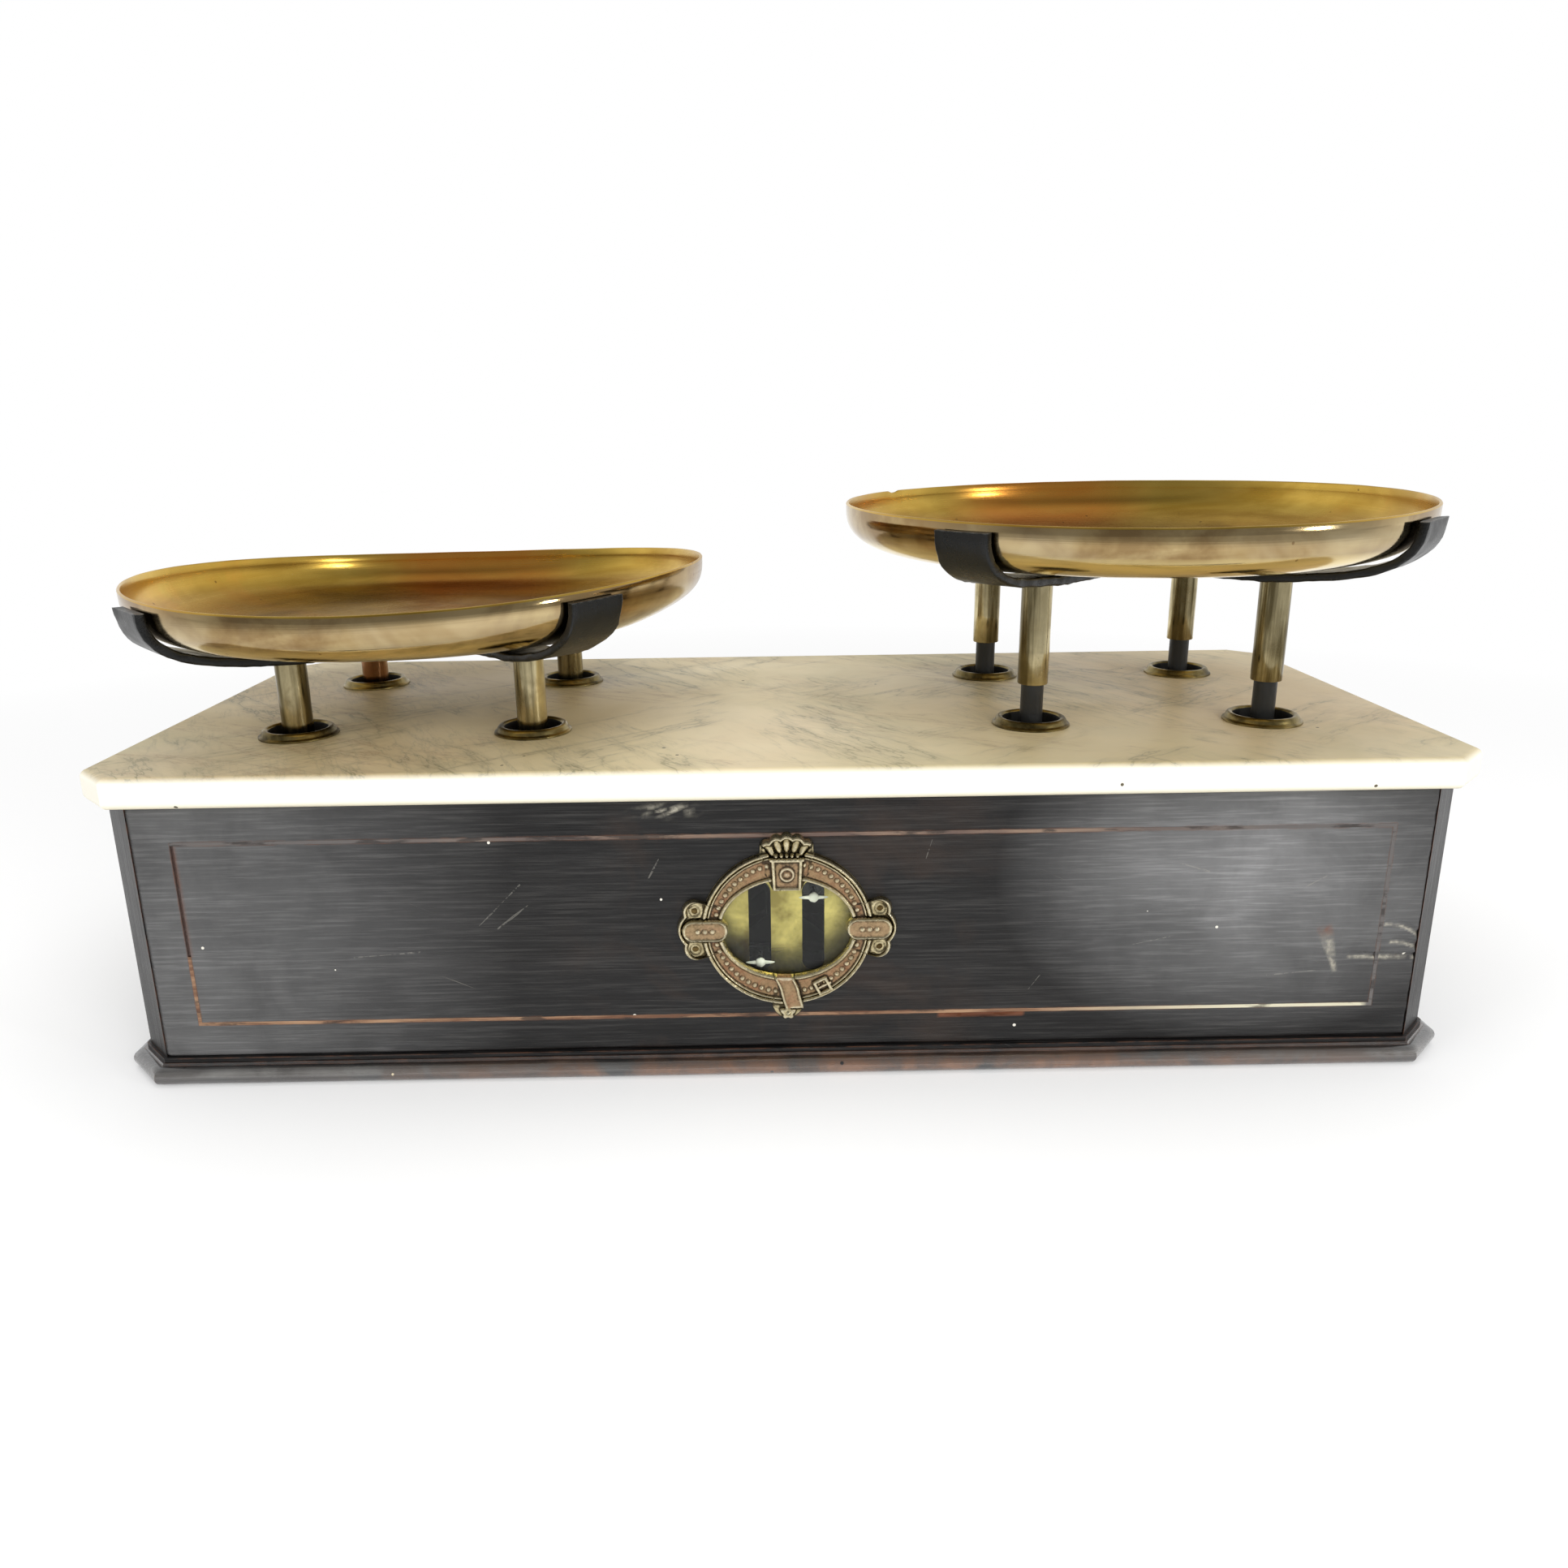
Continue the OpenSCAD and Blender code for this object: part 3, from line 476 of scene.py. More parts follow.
# %% Iron, steel and lead
def make_iron(name, dark, pale, rough, metallic=0.35, wear=0.8, bumps=500.0):
    iron = Finish(name, metallic=metallic)
    patches = iron.place("blotches", Scale=90.0, Low=0.4, High=0.7)
    iron.coat(patches * 0.5, linear(dark, 1.7), over=dark)
    # Pale arrises: rubbed paint, and on the black iron also a painted highlight along the edges.
    iron.coat(iron.place("worn_edges", Radius=0.0009, Breakup=420.0, Amount=wear), pale)
    pores = noise_of(iron.spot, bumps, detail=5)
    return iron.done(patches.ramp(0, 1, rough - 0.07, rough + 0.1), pores, strength=0.3, distance=0.0004)

# %% Glass
def make_glass():
    """Old window glass: clear, with a little grease on it. Lamps shine through it onto the plate."""
    glass = Finish("smudged_glass", Transmission_Weight=1.0, IOR=1.3)
    glass.colour = (0.93, 0.96, 0.94, 1.0)
    glass.done(glass.place("blotches", Scale=55.0, Low=0.5, High=0.75).ramp(0, 1, 0.02, 0.16))
    lit = wire(glass.tree, "ShaderNodeLightPath", output="Is Shadow Ray")
    clear = wire(glass.tree, "ShaderNodeBsdfTransparent")
    both = wire(glass.tree, "ShaderNodeMixShader", {0: lit, 1: glass.shader.outputs[0], 2: clear})
    plug(glass.tree, both, glass.output.inputs["Surface"])
    return glass.material

# %% [markdown]
# The stringing is a thin strip of pale wood let into the front. It was blacked over with the
# rest at the top left, top right and right, shows coppery elsewhere, and has faded almost
# white low on the right. So its colour goes by its place on the front, broken up by streaks.

# %% Stringing
def make_stringing():
    string = Finish("stringing_wood")
    x, _, z = string.spot.parts()
    streak = string.place("streaks", Along=26.0, Across=300.0, Low=0.4, High=0.62)
    string.coat(streak, (164, 130, 100), over=(104, 70, 50))
    string.coat(x.ramp(110 * MM, 200 * MM) * (1.0 - z.ramp(30 * MM, 34 * MM)), (208, 202, 176))
    ends = maths("MAXIMUM", x.ramp(-60 * MM, -190 * MM, 0.5, 0.95), x.ramp(110 * MM, 210 * MM, 0.5, 0.95))
    right = x.ramp(257 * MM, 260 * MM, 0.0, 0.97)
    string.coat(maths("MAXIMUM", ends * z.ramp(100 * MM, 108 * MM), right), (92, 89, 88))
    string.coat(string.place("streaks", Along=40.0, Across=160.0, Low=0.52, High=0.6) * 0.75, (40, 35, 32))
    return string.done(0.55, streak, strength=0.2, distance=0.0002)

# %% [markdown]
# The pans are spun from sheet brass and polished by hand. Inside they are golden, with
# browner and more orange streaks round them, a warm orange patch high on the back wall that is
# a painted reflection, and a dark band at the foot of the wall that is a painted reflection too.
# Outside they are paler and finely brushed, with a bright band low down, a painted reflection of
# the marble.

# %% Pan brass
SIDES = {-1: "left", 1: "right"}
PAN_X = 172.5 * MM
RIM_Z = {side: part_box(f"{name}_pan")[1].z for side, name in SIDES.items()}
# Where the painted warm reflection lies on each pan, high on the back wall, and its stretch.
WARM_REFLECTION_AT, WARM_REFLECTION_SHAPE = Vector((-12, 128, -8)) * MM, (0.6, 1, 1)


def make_pan_brass(side, where, bright, dull, warm, foot, rough):
    pan = Finish(f"pan_{where}_{SIDES[side]}", metallic=1.0)
    centred = turned(pan.spot, centre=(side * PAN_X, 0, RIM_Z[side]))
    depth = centred.parts()[2]
    fine = pan.place("turned_rings", centred, "Fine", Rings=1400.0, Sweep=2.0)
    broad = pan.place("turned_rings", centred, "Broad", Sweep=1.4)
    clouds = pan.place("blotches", centred, Scale=12.0, Low=0.38, High=0.66)
    pan.coat(clouds * 0.55, dull, over=bright)
    pan.coat(broad.ramp(0.46, 0.64, 0.0, 0.6), dull)
    # Painted reflection: a warm orange patch high on the back wall, as from something warm in the room.
    away = vectors("LENGTH", vectors("MULTIPLY", turned(centred, centre=WARM_REFLECTION_AT), WARM_REFLECTION_SHAPE))
    warm_reflection = away.ramp(42 * MM, 20 * MM) * broad.ramp(0.3, 0.55, 0.5, 1.0)
    streak = pan.place("streaks", turned(centred, (0, 0, 20)), Along=7.0, Across=42.0, Low=0.5, High=0.66)
    pan.coat(maths("MAXIMUM", warm_reflection * 0.65, streak * 0.15), warm)
    if where == "inside":
        # Painted reflection: a dark band at the foot of the inner wall.
        painted_dark_band = depth.ramp(-17 * MM, -23 * MM) * depth.ramp(-30 * MM, -25 * MM)
        pan.coat(painted_dark_band * broad.ramp(0.35, 0.6, 0.3, 0.75), foot)
    else:
        pan.coat(pan.place("blotches", centred, Scale=26.0, Low=0.46, High=0.58) * 0.5, foot)
        rubbed = pan.place("blotches", centred, Scale=9.0, Low=0.42, High=0.58)
        pan.coat(depth.ramp(-3 * MM, -9 * MM) * rubbed * 0.6, (232, 216, 176))
        # Painted reflection: a bright band low on the outside, the marble mirrored in the pan.
        pan.coat(depth.ramp(-16 * MM, -20 * MM, 0.0, 0.85), (255, 230, 160))
    pan.coat(pan.place("specks", centred, Scale=260.0, Size=0.2, Chance=0.035) * 0.6, foot)
    crossing = turned(centred, (14, -31, 35))
    scratches = pan.place("streaks", crossing, Along=9.0, Across=620.0, Low=0.73, High=0.76)
    pan.coat(scratches * 0.4, (236, 222, 184))
    roughness = clouds.ramp(0, 1, rough - 0.04, rough + 0.08) + fine.ramp(0.3, 0.7, -0.03, 0.05)
    return pan.done(roughness, fine, strength=0.10, distance=0.0002)

# %% [markdown]
# The surround was cast, and its hollows hold a brown lacquer. Its hollows are also painted dark as
# painted shade, and its high parts pale as a painted highlight. Its mesh carries two numbers for
# each point, worked out with its relief: how much lacquer lies there, and how deep the point lies
# among its neighbours.

# %% Cast and lacquered brass
def make_cast_brass():
    cast = Finish("surround_brass", metallic=1.0)
    patches = cast.place("blotches", Scale=160.0, Low=0.4, High=0.66)
    grit = cast.place("blotches", Scale=620.0, Low=0.42, High=0.6)
    film = cast.attribute("lacquer") * patches.ramp(0, 1, 0.95, 0.55)
    hollow = cast.attribute("hollow")
    cast.coat(patches * 0.7, (150, 134, 92), over=(222, 208, 166))
    cast.coat(film, (138, 94, 62))
    # Painted shade in the hollows, and a painted highlight on the high parts.
    cast.coat(hollow.ramp(0.03, 0.42) * 0.9, (34, 27, 16))
    cast.coat(hollow.ramp(-0.15, -0.65) * 0.75, (234, 224, 192))
    cast.coat(grit * 0.25, (84, 66, 40))
    plug(cast.tree, 1.0 - film * 0.6, cast.shader.inputs["Metallic"])
    return cast.done(grit.ramp(0, 1, 0.26, 0.42), grit, strength=0.2, distance=0.0001)

# %% All finishes
EBONISED = make_ebonised("ebonised_wood")
EBONISED_ENDS = make_ebonised("ebonised_wood_ends", along=(0, 0, 90))
EBONISED_POSTS = make_ebonised("ebonised_wood_posts", along=(0, 90, 0))
EBONISED_FRONT = make_ebonised("ebonised_wood_front", front=True)
EBONISED_MOULDING = make_ebonised("ebonised_wood_moulding", moulding=True)
STRINGING = make_stringing()
MARBLE = make_marble()
GLASS = make_glass()
CAST_BRASS = make_cast_brass()
PAN_INSIDE = {side: make_pan_brass(side, "inside", (214, 178, 84), (160, 120, 34), (236, 150, 66),
                                   (84, 58, 18), 0.24) for side in SIDES}
PAN_OUTSIDE = {side: make_pan_brass(side, "outside", (192, 170, 124), (148, 118, 74), (176, 134, 88),
                                    (120, 88, 54), 0.12) for side in SIDES}
COPPERY_SLEEVE = (Vector((-227.5, 57, 0)) * MM, (1, 1, 0), 34 * MM, (158, 104, 68))
# A darker patch on the index plate, towards its lower left.
PLATE_LOWER_LEFT_DARK = (Vector((-17, -107, 50)) * MM, (1, 0, 1.3), 17 * MM, (64, 46, 18))
SLEEVE_BRASS = make_brass("sleeve_brass", (212, 198, 156), (104, 86, 46), 0.15, scale=60.0, along_z=True,
                          tint=COPPERY_SLEEVE)
FERRULE_BRASS = make_brass("ferrule_brass", (146, 130, 84), (66, 58, 34), 0.36, tarnish=0.9, scale=80.0)
SCREW_BRASS = make_brass("screw_brass", (120, 100, 62), (58, 44, 26), 0.36, tarnish=0.7, scale=200.0)
PLATE_BRASS = make_brass("index_brass", (228, 210, 126), (126, 110, 50), 0.34, tarnish=0.8, scale=60.0,
                         tint=PLATE_LOWER_LEFT_DARK)
# The ferrules' bores: dark dirt, and painted shade for the deep holes.
BORE_DIRT_AND_SHADE = make_iron("ferrule_bore_dirt_and_shade", (16, 13, 9), (40, 34, 22), 0.7, metallic=0.0)
BLACK_IRON = make_iron("black_iron", (19, 20, 20), (112, 112, 108), 0.34, bumps=900.0)
ROD_IRON = make_iron("rod_iron", (40, 40, 39), (150, 148, 142), 0.36, bumps=900.0)
CAST_IRON = make_iron("cast_iron", (48, 48, 50), (110, 108, 104), 0.55, metallic=0.8)
STEEL = make_iron("hard_steel", (122, 122, 124), (176, 176, 176), 0.34, metallic=1.0)
LEAD = make_iron("lead", (70, 72, 76), (120, 122, 126), 0.6, metallic=0.9)
POINTER_WHITE = make_iron("pointer_white", (196, 196, 180), (150, 144, 122), 0.45, metallic=0.0, wear=0.5)
print("materials:", len(bpy.data.materials))

# %% A finish for every node
FINISHED = {
    EBONISED: "base_board back_board", EBONISED_MOULDING: "base_moulding", EBONISED_FRONT: "front_board",
    EBONISED_ENDS: "left_end_board right_end_board", EBONISED_POSTS: "corner_posts",
    STRINGING: "front_stringing", MARBLE: "marble_top", GLASS: "window_glass", CAST_BRASS: "window_bezel",
    SCREW_BRASS: "bezel_screws", PLATE_BRASS: "index_plate tare_box", LEAD: "tare_lead",
    FERRULE_BRASS: "*_ferrules", SLEEVE_BRASS: "*_sleeves", ROD_IRON: "*_posts",
    BLACK_IRON: "*_pan_arms *_pointer_arm", POINTER_WHITE: "*_pointer",
    CAST_IRON: "main_beam fulcrum_stand travel_stops *_lever_stand *_yoke *_lever *_link",
    STEEL: "index_screws centre_knife pan_knives link_knives fulcrum_bearings lever_bearings stand_screws "
           "*_yoke_nuts *_yoke_bearings *_lever_knives",
}
NODE_FINISH = {f"{SIDES[side]}_pan": finish for side, finish in PAN_INSIDE.items()}
for finish, names in FINISHED.items():
    for side in SIDES.values():
        NODE_FINISH.update({name.replace("*", side): finish for name in names.split()})
for name, finish in NODE_FINISH.items():
    nodes[name].data.materials.clear()
    nodes[name].data.materials.append(finish)
print("finished nodes:", len(NODE_FINISH), "without a finish:", sorted(set(nodes) - set(NODE_FINISH)))

# %% [markdown]
# Every piece made from here on is handed over in the same way: its mesh gets its finishes,
# the piece rides on the body that carries it, and it hides the plain solid that it stands
# for. Most of the meshes are rows of points joined by faces, like a net laid over the form,
# so one helper joins them. It also turns the faces outwards, and keeps real arrises crisp.

# %% Making and handing over a piece
DOUBLED = 2e-6


def tidy_mesh(mesh, sharp=40):
    """Merges doubled points, turns the faces outwards and shades all but the sharp edges smooth."""
    work = bmesh.new()
    work.from_mesh(mesh)
    bmesh.ops.remove_doubles(work, verts=work.verts, dist=DOUBLED)
    bmesh.ops.recalc_face_normals(work, faces=work.faces)
    work.to_mesh(mesh)
    work.free()
    mesh.polygons.foreach_set("use_smooth", [True] * len(mesh.polygons))
    mesh.set_sharp_from_angle(angle=math.radians(sharp))
    return mesh


def net_mesh(name, nets, around=True, closed=False, sharp=40):
    """A mesh from nets of points, each of shape (rows, columns, 3). With around, the last column
    joins the first; with closed, the last row joins the first."""
    points, faces, start = [], [], 0
    for net in nets:
        rows, columns = net.shape[:2]
        steps = np.arange(rows if closed else rows - 1), np.arange(columns if around else columns - 1)
        i, j = np.meshgrid(*steps)
        i, j, next_i, next_j = i.ravel(), j.ravel(), (i.ravel() + 1) % rows, (j.ravel() + 1) % columns
        corners = ((i, j), (i, next_j), (next_i, next_j), (next_i, j))
        faces += (np.stack([a * columns + b for a, b in corners], 1) + start).tolist()
        points += net.reshape(-1, 3).tolist()
        start += rows * columns
    mesh = bpy.data.meshes.new(name)
    mesh.from_pydata(points, [], faces)
    return tidy_mesh(mesh, sharp)


def link_object(name, data):
    """An object of a mesh or a lamp, at the origin, in the scene."""
    made = bpy.data.objects.new(name, data)
    bpy.context.scene.collection.objects.link(made)
    return made


def add_piece(name, mesh, finishes, body, slot, *replaced):
    """Makes a piece of the mesh, which rides on a body and stands for the replaced CAD nodes."""
    mesh.materials.clear()
    for finish in finishes:
        mesh.materials.append(finish)
    piece = link_object(name, mesh)
    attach(piece, body)
    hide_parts(*replaced)
    print(name, len(mesh.polygons), "faces")


def points_of(mesh):
    flat = np.empty(len(mesh.vertices) * 3)
    mesh.vertices.foreach_get("co", flat)
    return flat.reshape(-1, 3)


def rough_of(points, size, seed=0):
    """Smooth noise from -1 to 1 at each point, with lumps of the given size."""
    shift = Vector((seed * 7.3, seed * 3.1, seed * 5.7))
    flat = points.reshape(-1, 3) / size
    return np.array([noise.noise(Vector(p) + shift) for p in flat]).reshape(points.shape[:-1])


def fade_in(value, low, high):
    """0 below low, 1 above high, with an easy curve between."""
    t = np.clip((value - low) / (high - low), 0, 1)
    return t * t * (3 - 2 * t)

# %% [markdown]
# Geometry Nodes build what follows a rule. A tree is a recipe with named inputs: one helper
# makes an empty one, one ends it as the export needs it, and one runs it on an empty mesh,
# with its inputs set, and keeps the result as a plain mesh, so that nothing live is left on
# the finished piece.

# %% Running geometry trees
def geometry_tree(name, inputs):
    """A new tree: returns it, its inputs' wires by name, and its output's socket."""
    tree = bpy.data.node_groups.new(name, "GeometryNodeTree")
    tree.interface.new_socket("Geometry", in_out="OUTPUT", socket_type="NodeSocketGeometry")
    for label, kind in inputs.items():
        tree.interface.new_socket(label, in_out="INPUT", socket_type="NodeSocket" + kind)
    given = {socket.name: Wire(tree, socket) for socket in tree.nodes.new("NodeGroupInput").outputs}
    return tree, given, tree.nodes.new("NodeGroupOutput").inputs[0]


def end_tree(tree, shape, finish, leave):
    """Makes any copies real, gives them their finish and hands them to the tree's output."""
    real = wire(tree, "GeometryNodeRealizeInstances", {"Geometry": shape})
    plug(tree, wire(tree, "GeometryNodeSetMaterial", {"Geometry": real, "Material": finish}), leave)
    return tree


def run_tree(name, tree, **values):
    """Runs a tree with these inputs and returns the plain mesh that it makes."""
    host = link_object(name + "_host", bpy.data.meshes.new(name + "_host"))
    step = host.modifiers.new(name, "NODES")
    step.node_group = tree
    for item in tree.interface.items_tree:
        if item.in_out == "INPUT":
            step[item.identifier] = values[item.name]
    graph = bpy.context.evaluated_depsgraph_get()
    mesh = bpy.data.meshes.new_from_object(host.evaluated_get(graph))
    mesh.name = name
    host.modifiers.remove(step)
    bpy.data.objects.remove(host)
    return mesh

# %% [markdown]
# A pan is a squarish bowl: its section is a superellipse, rounder than a box and fuller than
# a circle, turned about the middle. The tree starts from a flat grid. One way across the grid
# becomes the turn about the middle, the other the way along the section, from the middle of
# the outside, up over the rolled rim and down again to the middle of the inside.

# %% The bowl's tree
def make_bowl_tree():
    tree, given, leave = geometry_tree("turned_bowl", {
        "Radius": "Float", "Depth": "Float", "Power": "Float", "Wall": "Float", "Sides": "Int",
        "Steps": "Int", "Finish": "Material"})
    lip = 0.03
    net = wire(tree, "GeometryNodeMeshGrid", {"Size X": 1.0, "Size Y": 1.0, "Vertices X": given["Sides"],
                                              "Vertices Y": given["Steps"]}, "Mesh")
    across, along, _ = wire(tree, "GeometryNodeInputPosition").parts()
    turn = (across + 0.5) * math.tau
    share = along + 0.5
    near = maths("MINIMUM", share, 1.0 - share)
    angle = maths("DIVIDE", near, 0.5 - lip, clamp=True) * (math.pi / 2)
    inward = share.ramp(0.5 - lip, 0.5 + lip)
    power = maths("DIVIDE", 2.0, given["Power"])
    reach = maths("POWER", maths("SINE", angle), power)
    drop = maths("POWER", maths("MAXIMUM", maths("COSINE", angle), 0.0), power)
    thin, half_wall = given["Wall"] * inward, given["Wall"] * 0.5
    radius = (given["Radius"] - thin) * reach
    bulge = 1.0 - maths("SINE", inward * math.pi)
    fall = (given["Depth"] - half_wall - thin) * drop + half_wall * bulge
    spot = joined(radius * maths("COSINE", turn), radius * maths("SINE", turn), fall * -1.0)
    bowl = wire(tree, "GeometryNodeSetPosition", {"Geometry": net, "Position": spot})
    whole = wire(tree, "GeometryNodeMergeByDistance", {"Geometry": bowl, "Distance": DOUBLED})
    return end_tree(tree, whole, given["Finish"], leave)


BOWL_TREE = make_bowl_tree()
print("bowl tree nodes:", len(BOWL_TREE.nodes))

# %% [markdown]
# Loose pans of this age are never true. The left one has been knocked into a slight saddle,
# with its ends up, and the right one sits with its front down. The iron straps have bent with
# them. One function moves both, more towards the rim, so that a pan never sinks into a strap.

# %% How the pans sit
PAN_LOW, PAN_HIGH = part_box("right_pan")
PAN_R = (PAN_HIGH.x - PAN_LOW.x) / 2
PAN_DEPTH = PAN_HIGH.z - PAN_LOW.z
PAN_POWER = 3.2
PAN_WALL = 1.5 * MM
POSTS_END = 86 * MM
# How far each pan's ends are bent up, its slopes to the right and to the back, and its shift aside.
KNOCKS = {-1: {"ends_up": 3.3 * MM, "right_up": 0.012, "back_up": -0.004, "aside": (-3.5 * MM, 0.0)},
          1: {"ends_up": 0.7 * MM, "right_up": 0.013, "back_up": 0.024, "aside": (-1.0 * MM, -3.0 * MM)}}


def settle(side, points):
    """Moves the points of a pan or its straps as that pan is knocked out of true."""
    x, y = points[..., 0] - side * PAN_X, points[..., 1]
    share = fade_in(np.hypot(x, y), POSTS_END, 0.95 * PAN_R)
    knock = KNOCKS[side]
    saddle = knock["ends_up"] * (x * x - y * y) / PAN_R ** 2
    moved = points.copy()
    moved[..., :2] += share[..., None] * knock["aside"]
    moved[..., 2] += share * (saddle + knock["right_up"] * x + knock["back_up"] * y)
    return moved

# %% Pans
NICK_AT, NICK_WIDTH, NICK_DEPTH = math.radians(140), math.radians(1.1), 1.5 * MM
# Each set of dents: depth, size, seed.
PAN_DENTS = [(0.16 * MM, 34 * MM, 2), (0.05 * MM, 13 * MM, 5)]

for side, name in SIDES.items():
    bowl = run_tree(f"{name}_pan_bowl", BOWL_TREE, Radius=PAN_R, Depth=PAN_DEPTH, Power=PAN_POWER,
                    Wall=PAN_WALL, Sides=257, Steps=101, Finish=PAN_OUTSIDE[side])
    tidy_mesh(bowl, sharp=60)
    spots = points_of(bowl)
    height = 1 + spots[:, 2] / PAN_DEPTH
    if side > 0:
        off = np.arctan2(spots[:, 1], spots[:, 0]) - NICK_AT
        spots[:, 2] -= NICK_DEPTH * np.exp(-(off / NICK_WIDTH) ** 2) * fade_in(height, 0.75, 1.0)
    spots += (side * PAN_X, 0, RIM_Z[side])
    dents = sum(deep * rough_of(spots, size, seed=side + seed) for deep, size, seed in PAN_DENTS)
    spots[:, 2] += dents * fade_in(height, 0.02, 0.3)
    bowl.vertices.foreach_set("co", settle(side, spots).ravel())
    bowl.update()
    inner = [face.normal.z > 0 for face in bowl.polygons]
    add_piece(f"{name}_pan_bowl", bowl, (PAN_OUTSIDE[side], PAN_INSIDE[side]), f"{name}_pan",
              "polished_brass", f"{name}_pan")
    bowl.polygons.foreach_set("material_index", inner)

# %% [markdown]
# Two flat iron straps cross under each pan. A smith bent them hot, so that they run level
# where the rods are riveted in and then follow the pan nearly up to its rim. Their arrises
# are rounded and rough under the paint. Each strap is a rounded oblong swept along the bend.

# %% Strap section and bend
STRAP_WIDTH, STRAP_THICK, STRAP_CLEAR, TIP_DROP = 26 * MM, 4 * MM, 2.4 * MM, 3.5 * MM
ARRIS = 0.9 * MM
PAN_GAP = 0.4 * MM
POST_DX, POST_DY = 110 * MM, 114 * MM


def bend_line(out, steps=56):
    """A strap's bend in even steps from tip to tip: distance along, and height."""
    a = np.linspace(0, math.pi / 2, 600)
    away = (PAN_R + 1 * MM + out) * np.sin(a) ** (2 / PAN_POWER)
    up = -(PAN_DEPTH + STRAP_CLEAR + out) * np.maximum(np.cos(a), 0) ** (2 / PAN_POWER)
    up = np.maximum(up, -(PAN_DEPTH + PAN_GAP + out))
    away, up = away[up <= -TIP_DROP], up[up <= -TIP_DROP]
    run = np.concatenate([[0], np.cumsum(np.hypot(np.diff(away), np.diff(up)))])
    even = np.linspace(0, run[-1], steps)
    away, up = np.interp(even, run, away), np.interp(even, run, up)
    return np.concatenate([-away[:0:-1], away]), np.concatenate([up[:0:-1], up])


def oblong(width, thick, radius, corner=4, side=9):
    """Points round an oblong with rounded corners: across, and 0 to 1 through its thickness."""
    found = []
    for turn, (sx, sy) in enumerate(((1, 1), (-1, 1), (-1, -1), (1, -1))):
        for k in range(corner + 1):
            a = math.pi / 2 * (turn + k / corner)
            found.append((sx * (width / 2 - radius) + radius * math.cos(a),
                          sy * (thick / 2 - radius) + radius * math.sin(a)))
        if turn % 2 == 0:
            x, y = found[-1]
            found += [(x * (1 - 2 * k / side), y) for k in range(1, side)]
    return np.array([(x, 0.5 - y / thick) for x, y in found])


def strap_net(side, direction, squeeze):
    """One strap as a net: rows along it, columns round its section, thinned by the share squeeze."""
    section = oblong(STRAP_WIDTH, STRAP_THICK, ARRIS)
    (inner, inner_up), (outer, outer_up) = bend_line(0), bend_line(STRAP_THICK)
    through = squeeze / 2 + (1 - squeeze) * section[:, 1]
    along = inner[:, None] * (1 - through) + outer[:, None] * through
    height = inner_up[:, None] * (1 - through) + outer_up[:, None] * through
    across = np.broadcast_to(section[:, 0], along.shape)
    c, s = math.cos(direction), math.sin(direction)
    net = np.stack([c * along - s * across + side * PAN_X, s * along + c * across, height + RIM_Z[side]], 2)
    edge = fade_in(np.abs(across), STRAP_WIDTH / 2 - 2.5 * MM, STRAP_WIDTH / 2)
    ragged = (0.10 + 0.4 * edge) * MM
    for axis in range(3):
        net[..., axis] += ragged * rough_of(net, 3.6 * MM, seed=axis + 3 * side + 9)
    ends = [net[:1], net[-1:]]
    caps = [end.mean(axis=1, keepdims=True) * (1 - k) + end * k for end in ends for k in (0.0, 0.93)]
    return np.concatenate([caps[0], caps[1], net, caps[3], caps[2]])

# %% Straps
STRAP_TURN = math.atan2(POST_DY, POST_DX)
# The second strap is a little thinner, so that no two faces lie in one plane where they cross.
STRAPS = ((STRAP_TURN, 0.0), (-STRAP_TURN, 0.08))
for side, name in SIDES.items():
    nets = [settle(side, strap_net(side, turn, squeeze)) for turn, squeeze in STRAPS]
    add_piece(f"{name}_strap_irons", net_mesh(f"{name}_strap_irons", nets), (BLACK_IRON,), f"{name}_carrier",
              "black_iron", f"{name}_pan_arms")

# %% [markdown]
# The front board is worked over with the marks of its age: level ripples of the grain, two
# dents, a long rough gouge and shell-shaped chips at the right end, and a split under the
# lower string. The string has dropped out of its groove high on the left. The board is a fine
# net with closer lines where the marks are, so each mark is a real change in its depth.

# %% Marks on the front board, in millimetres
GLASS_LOW, GLASS_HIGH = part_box("window_glass")
WINDOW_Z = (GLASS_LOW.z + GLASS_HIGH.z) / 2
BOARD_LOW, BOARD_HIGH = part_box("front_board")
STRING_LOW, STRING_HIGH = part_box("front_stringing")
FRONT_Y = BOARD_LOW.y
STRING_W, GROOVE = 1.5, 1.5
GLASS_HOLE, VIEW_HOLE, GLASS_SEAT, HOLE_CLEAR = 35.2, 33.0, 2.5, 45
# Places on the front are (x, z). A mark runs from one to another.
GOUGE, GOUGE_LIP = ((247, 51.6), (282, 50.2)), ((249, 53.9), (280, 52.4))
GOUGE_SCUFF = ((248, 50.1), (280, 49.4))
CHIPS = [((262.4, 66.2), (280, 59.6), 2.0), ((266.0, 57.6), (280, 54.0), 1.2)]
DENTS = [(-244.2, 68.7), (-245.4, 65.7)]
SPLIT_X, SPLIT_HALF, SPLIT_Z = 86, 19, 25.6
SPLIT_BARE = ((62, SPLIT_Z), (110, SPLIT_Z))
RUBBED_STROKE = ((236, 66), (243.5, 43))
FLAKE_AT, FLAKE_SIZE = (-50, 123.6), (9, 2.4)
STRING_LOST_ABOVE = 59


def spaced(*stops):
    """Grid lines between stops; each stop is (place, spacing up to the next)."""
    lines = [np.arange(start, end - step / 2, step) for (start, step), (end, _) in zip(stops[:-1], stops[1:])]
    return np.concatenate([*lines, [stops[-1][0]]])


def with_edges(lines, edges):
    """Adds a close pair of lines at each edge of a groove, for its steep side."""
    pairs = np.array([edge + shift for edge in edges for shift in (-0.03, 0.03)])
    clear = np.min(np.abs(lines[:, None] - pairs[None, :]), axis=1) > 0.25
    return np.sort(np.concatenate([lines[clear], pairs]))


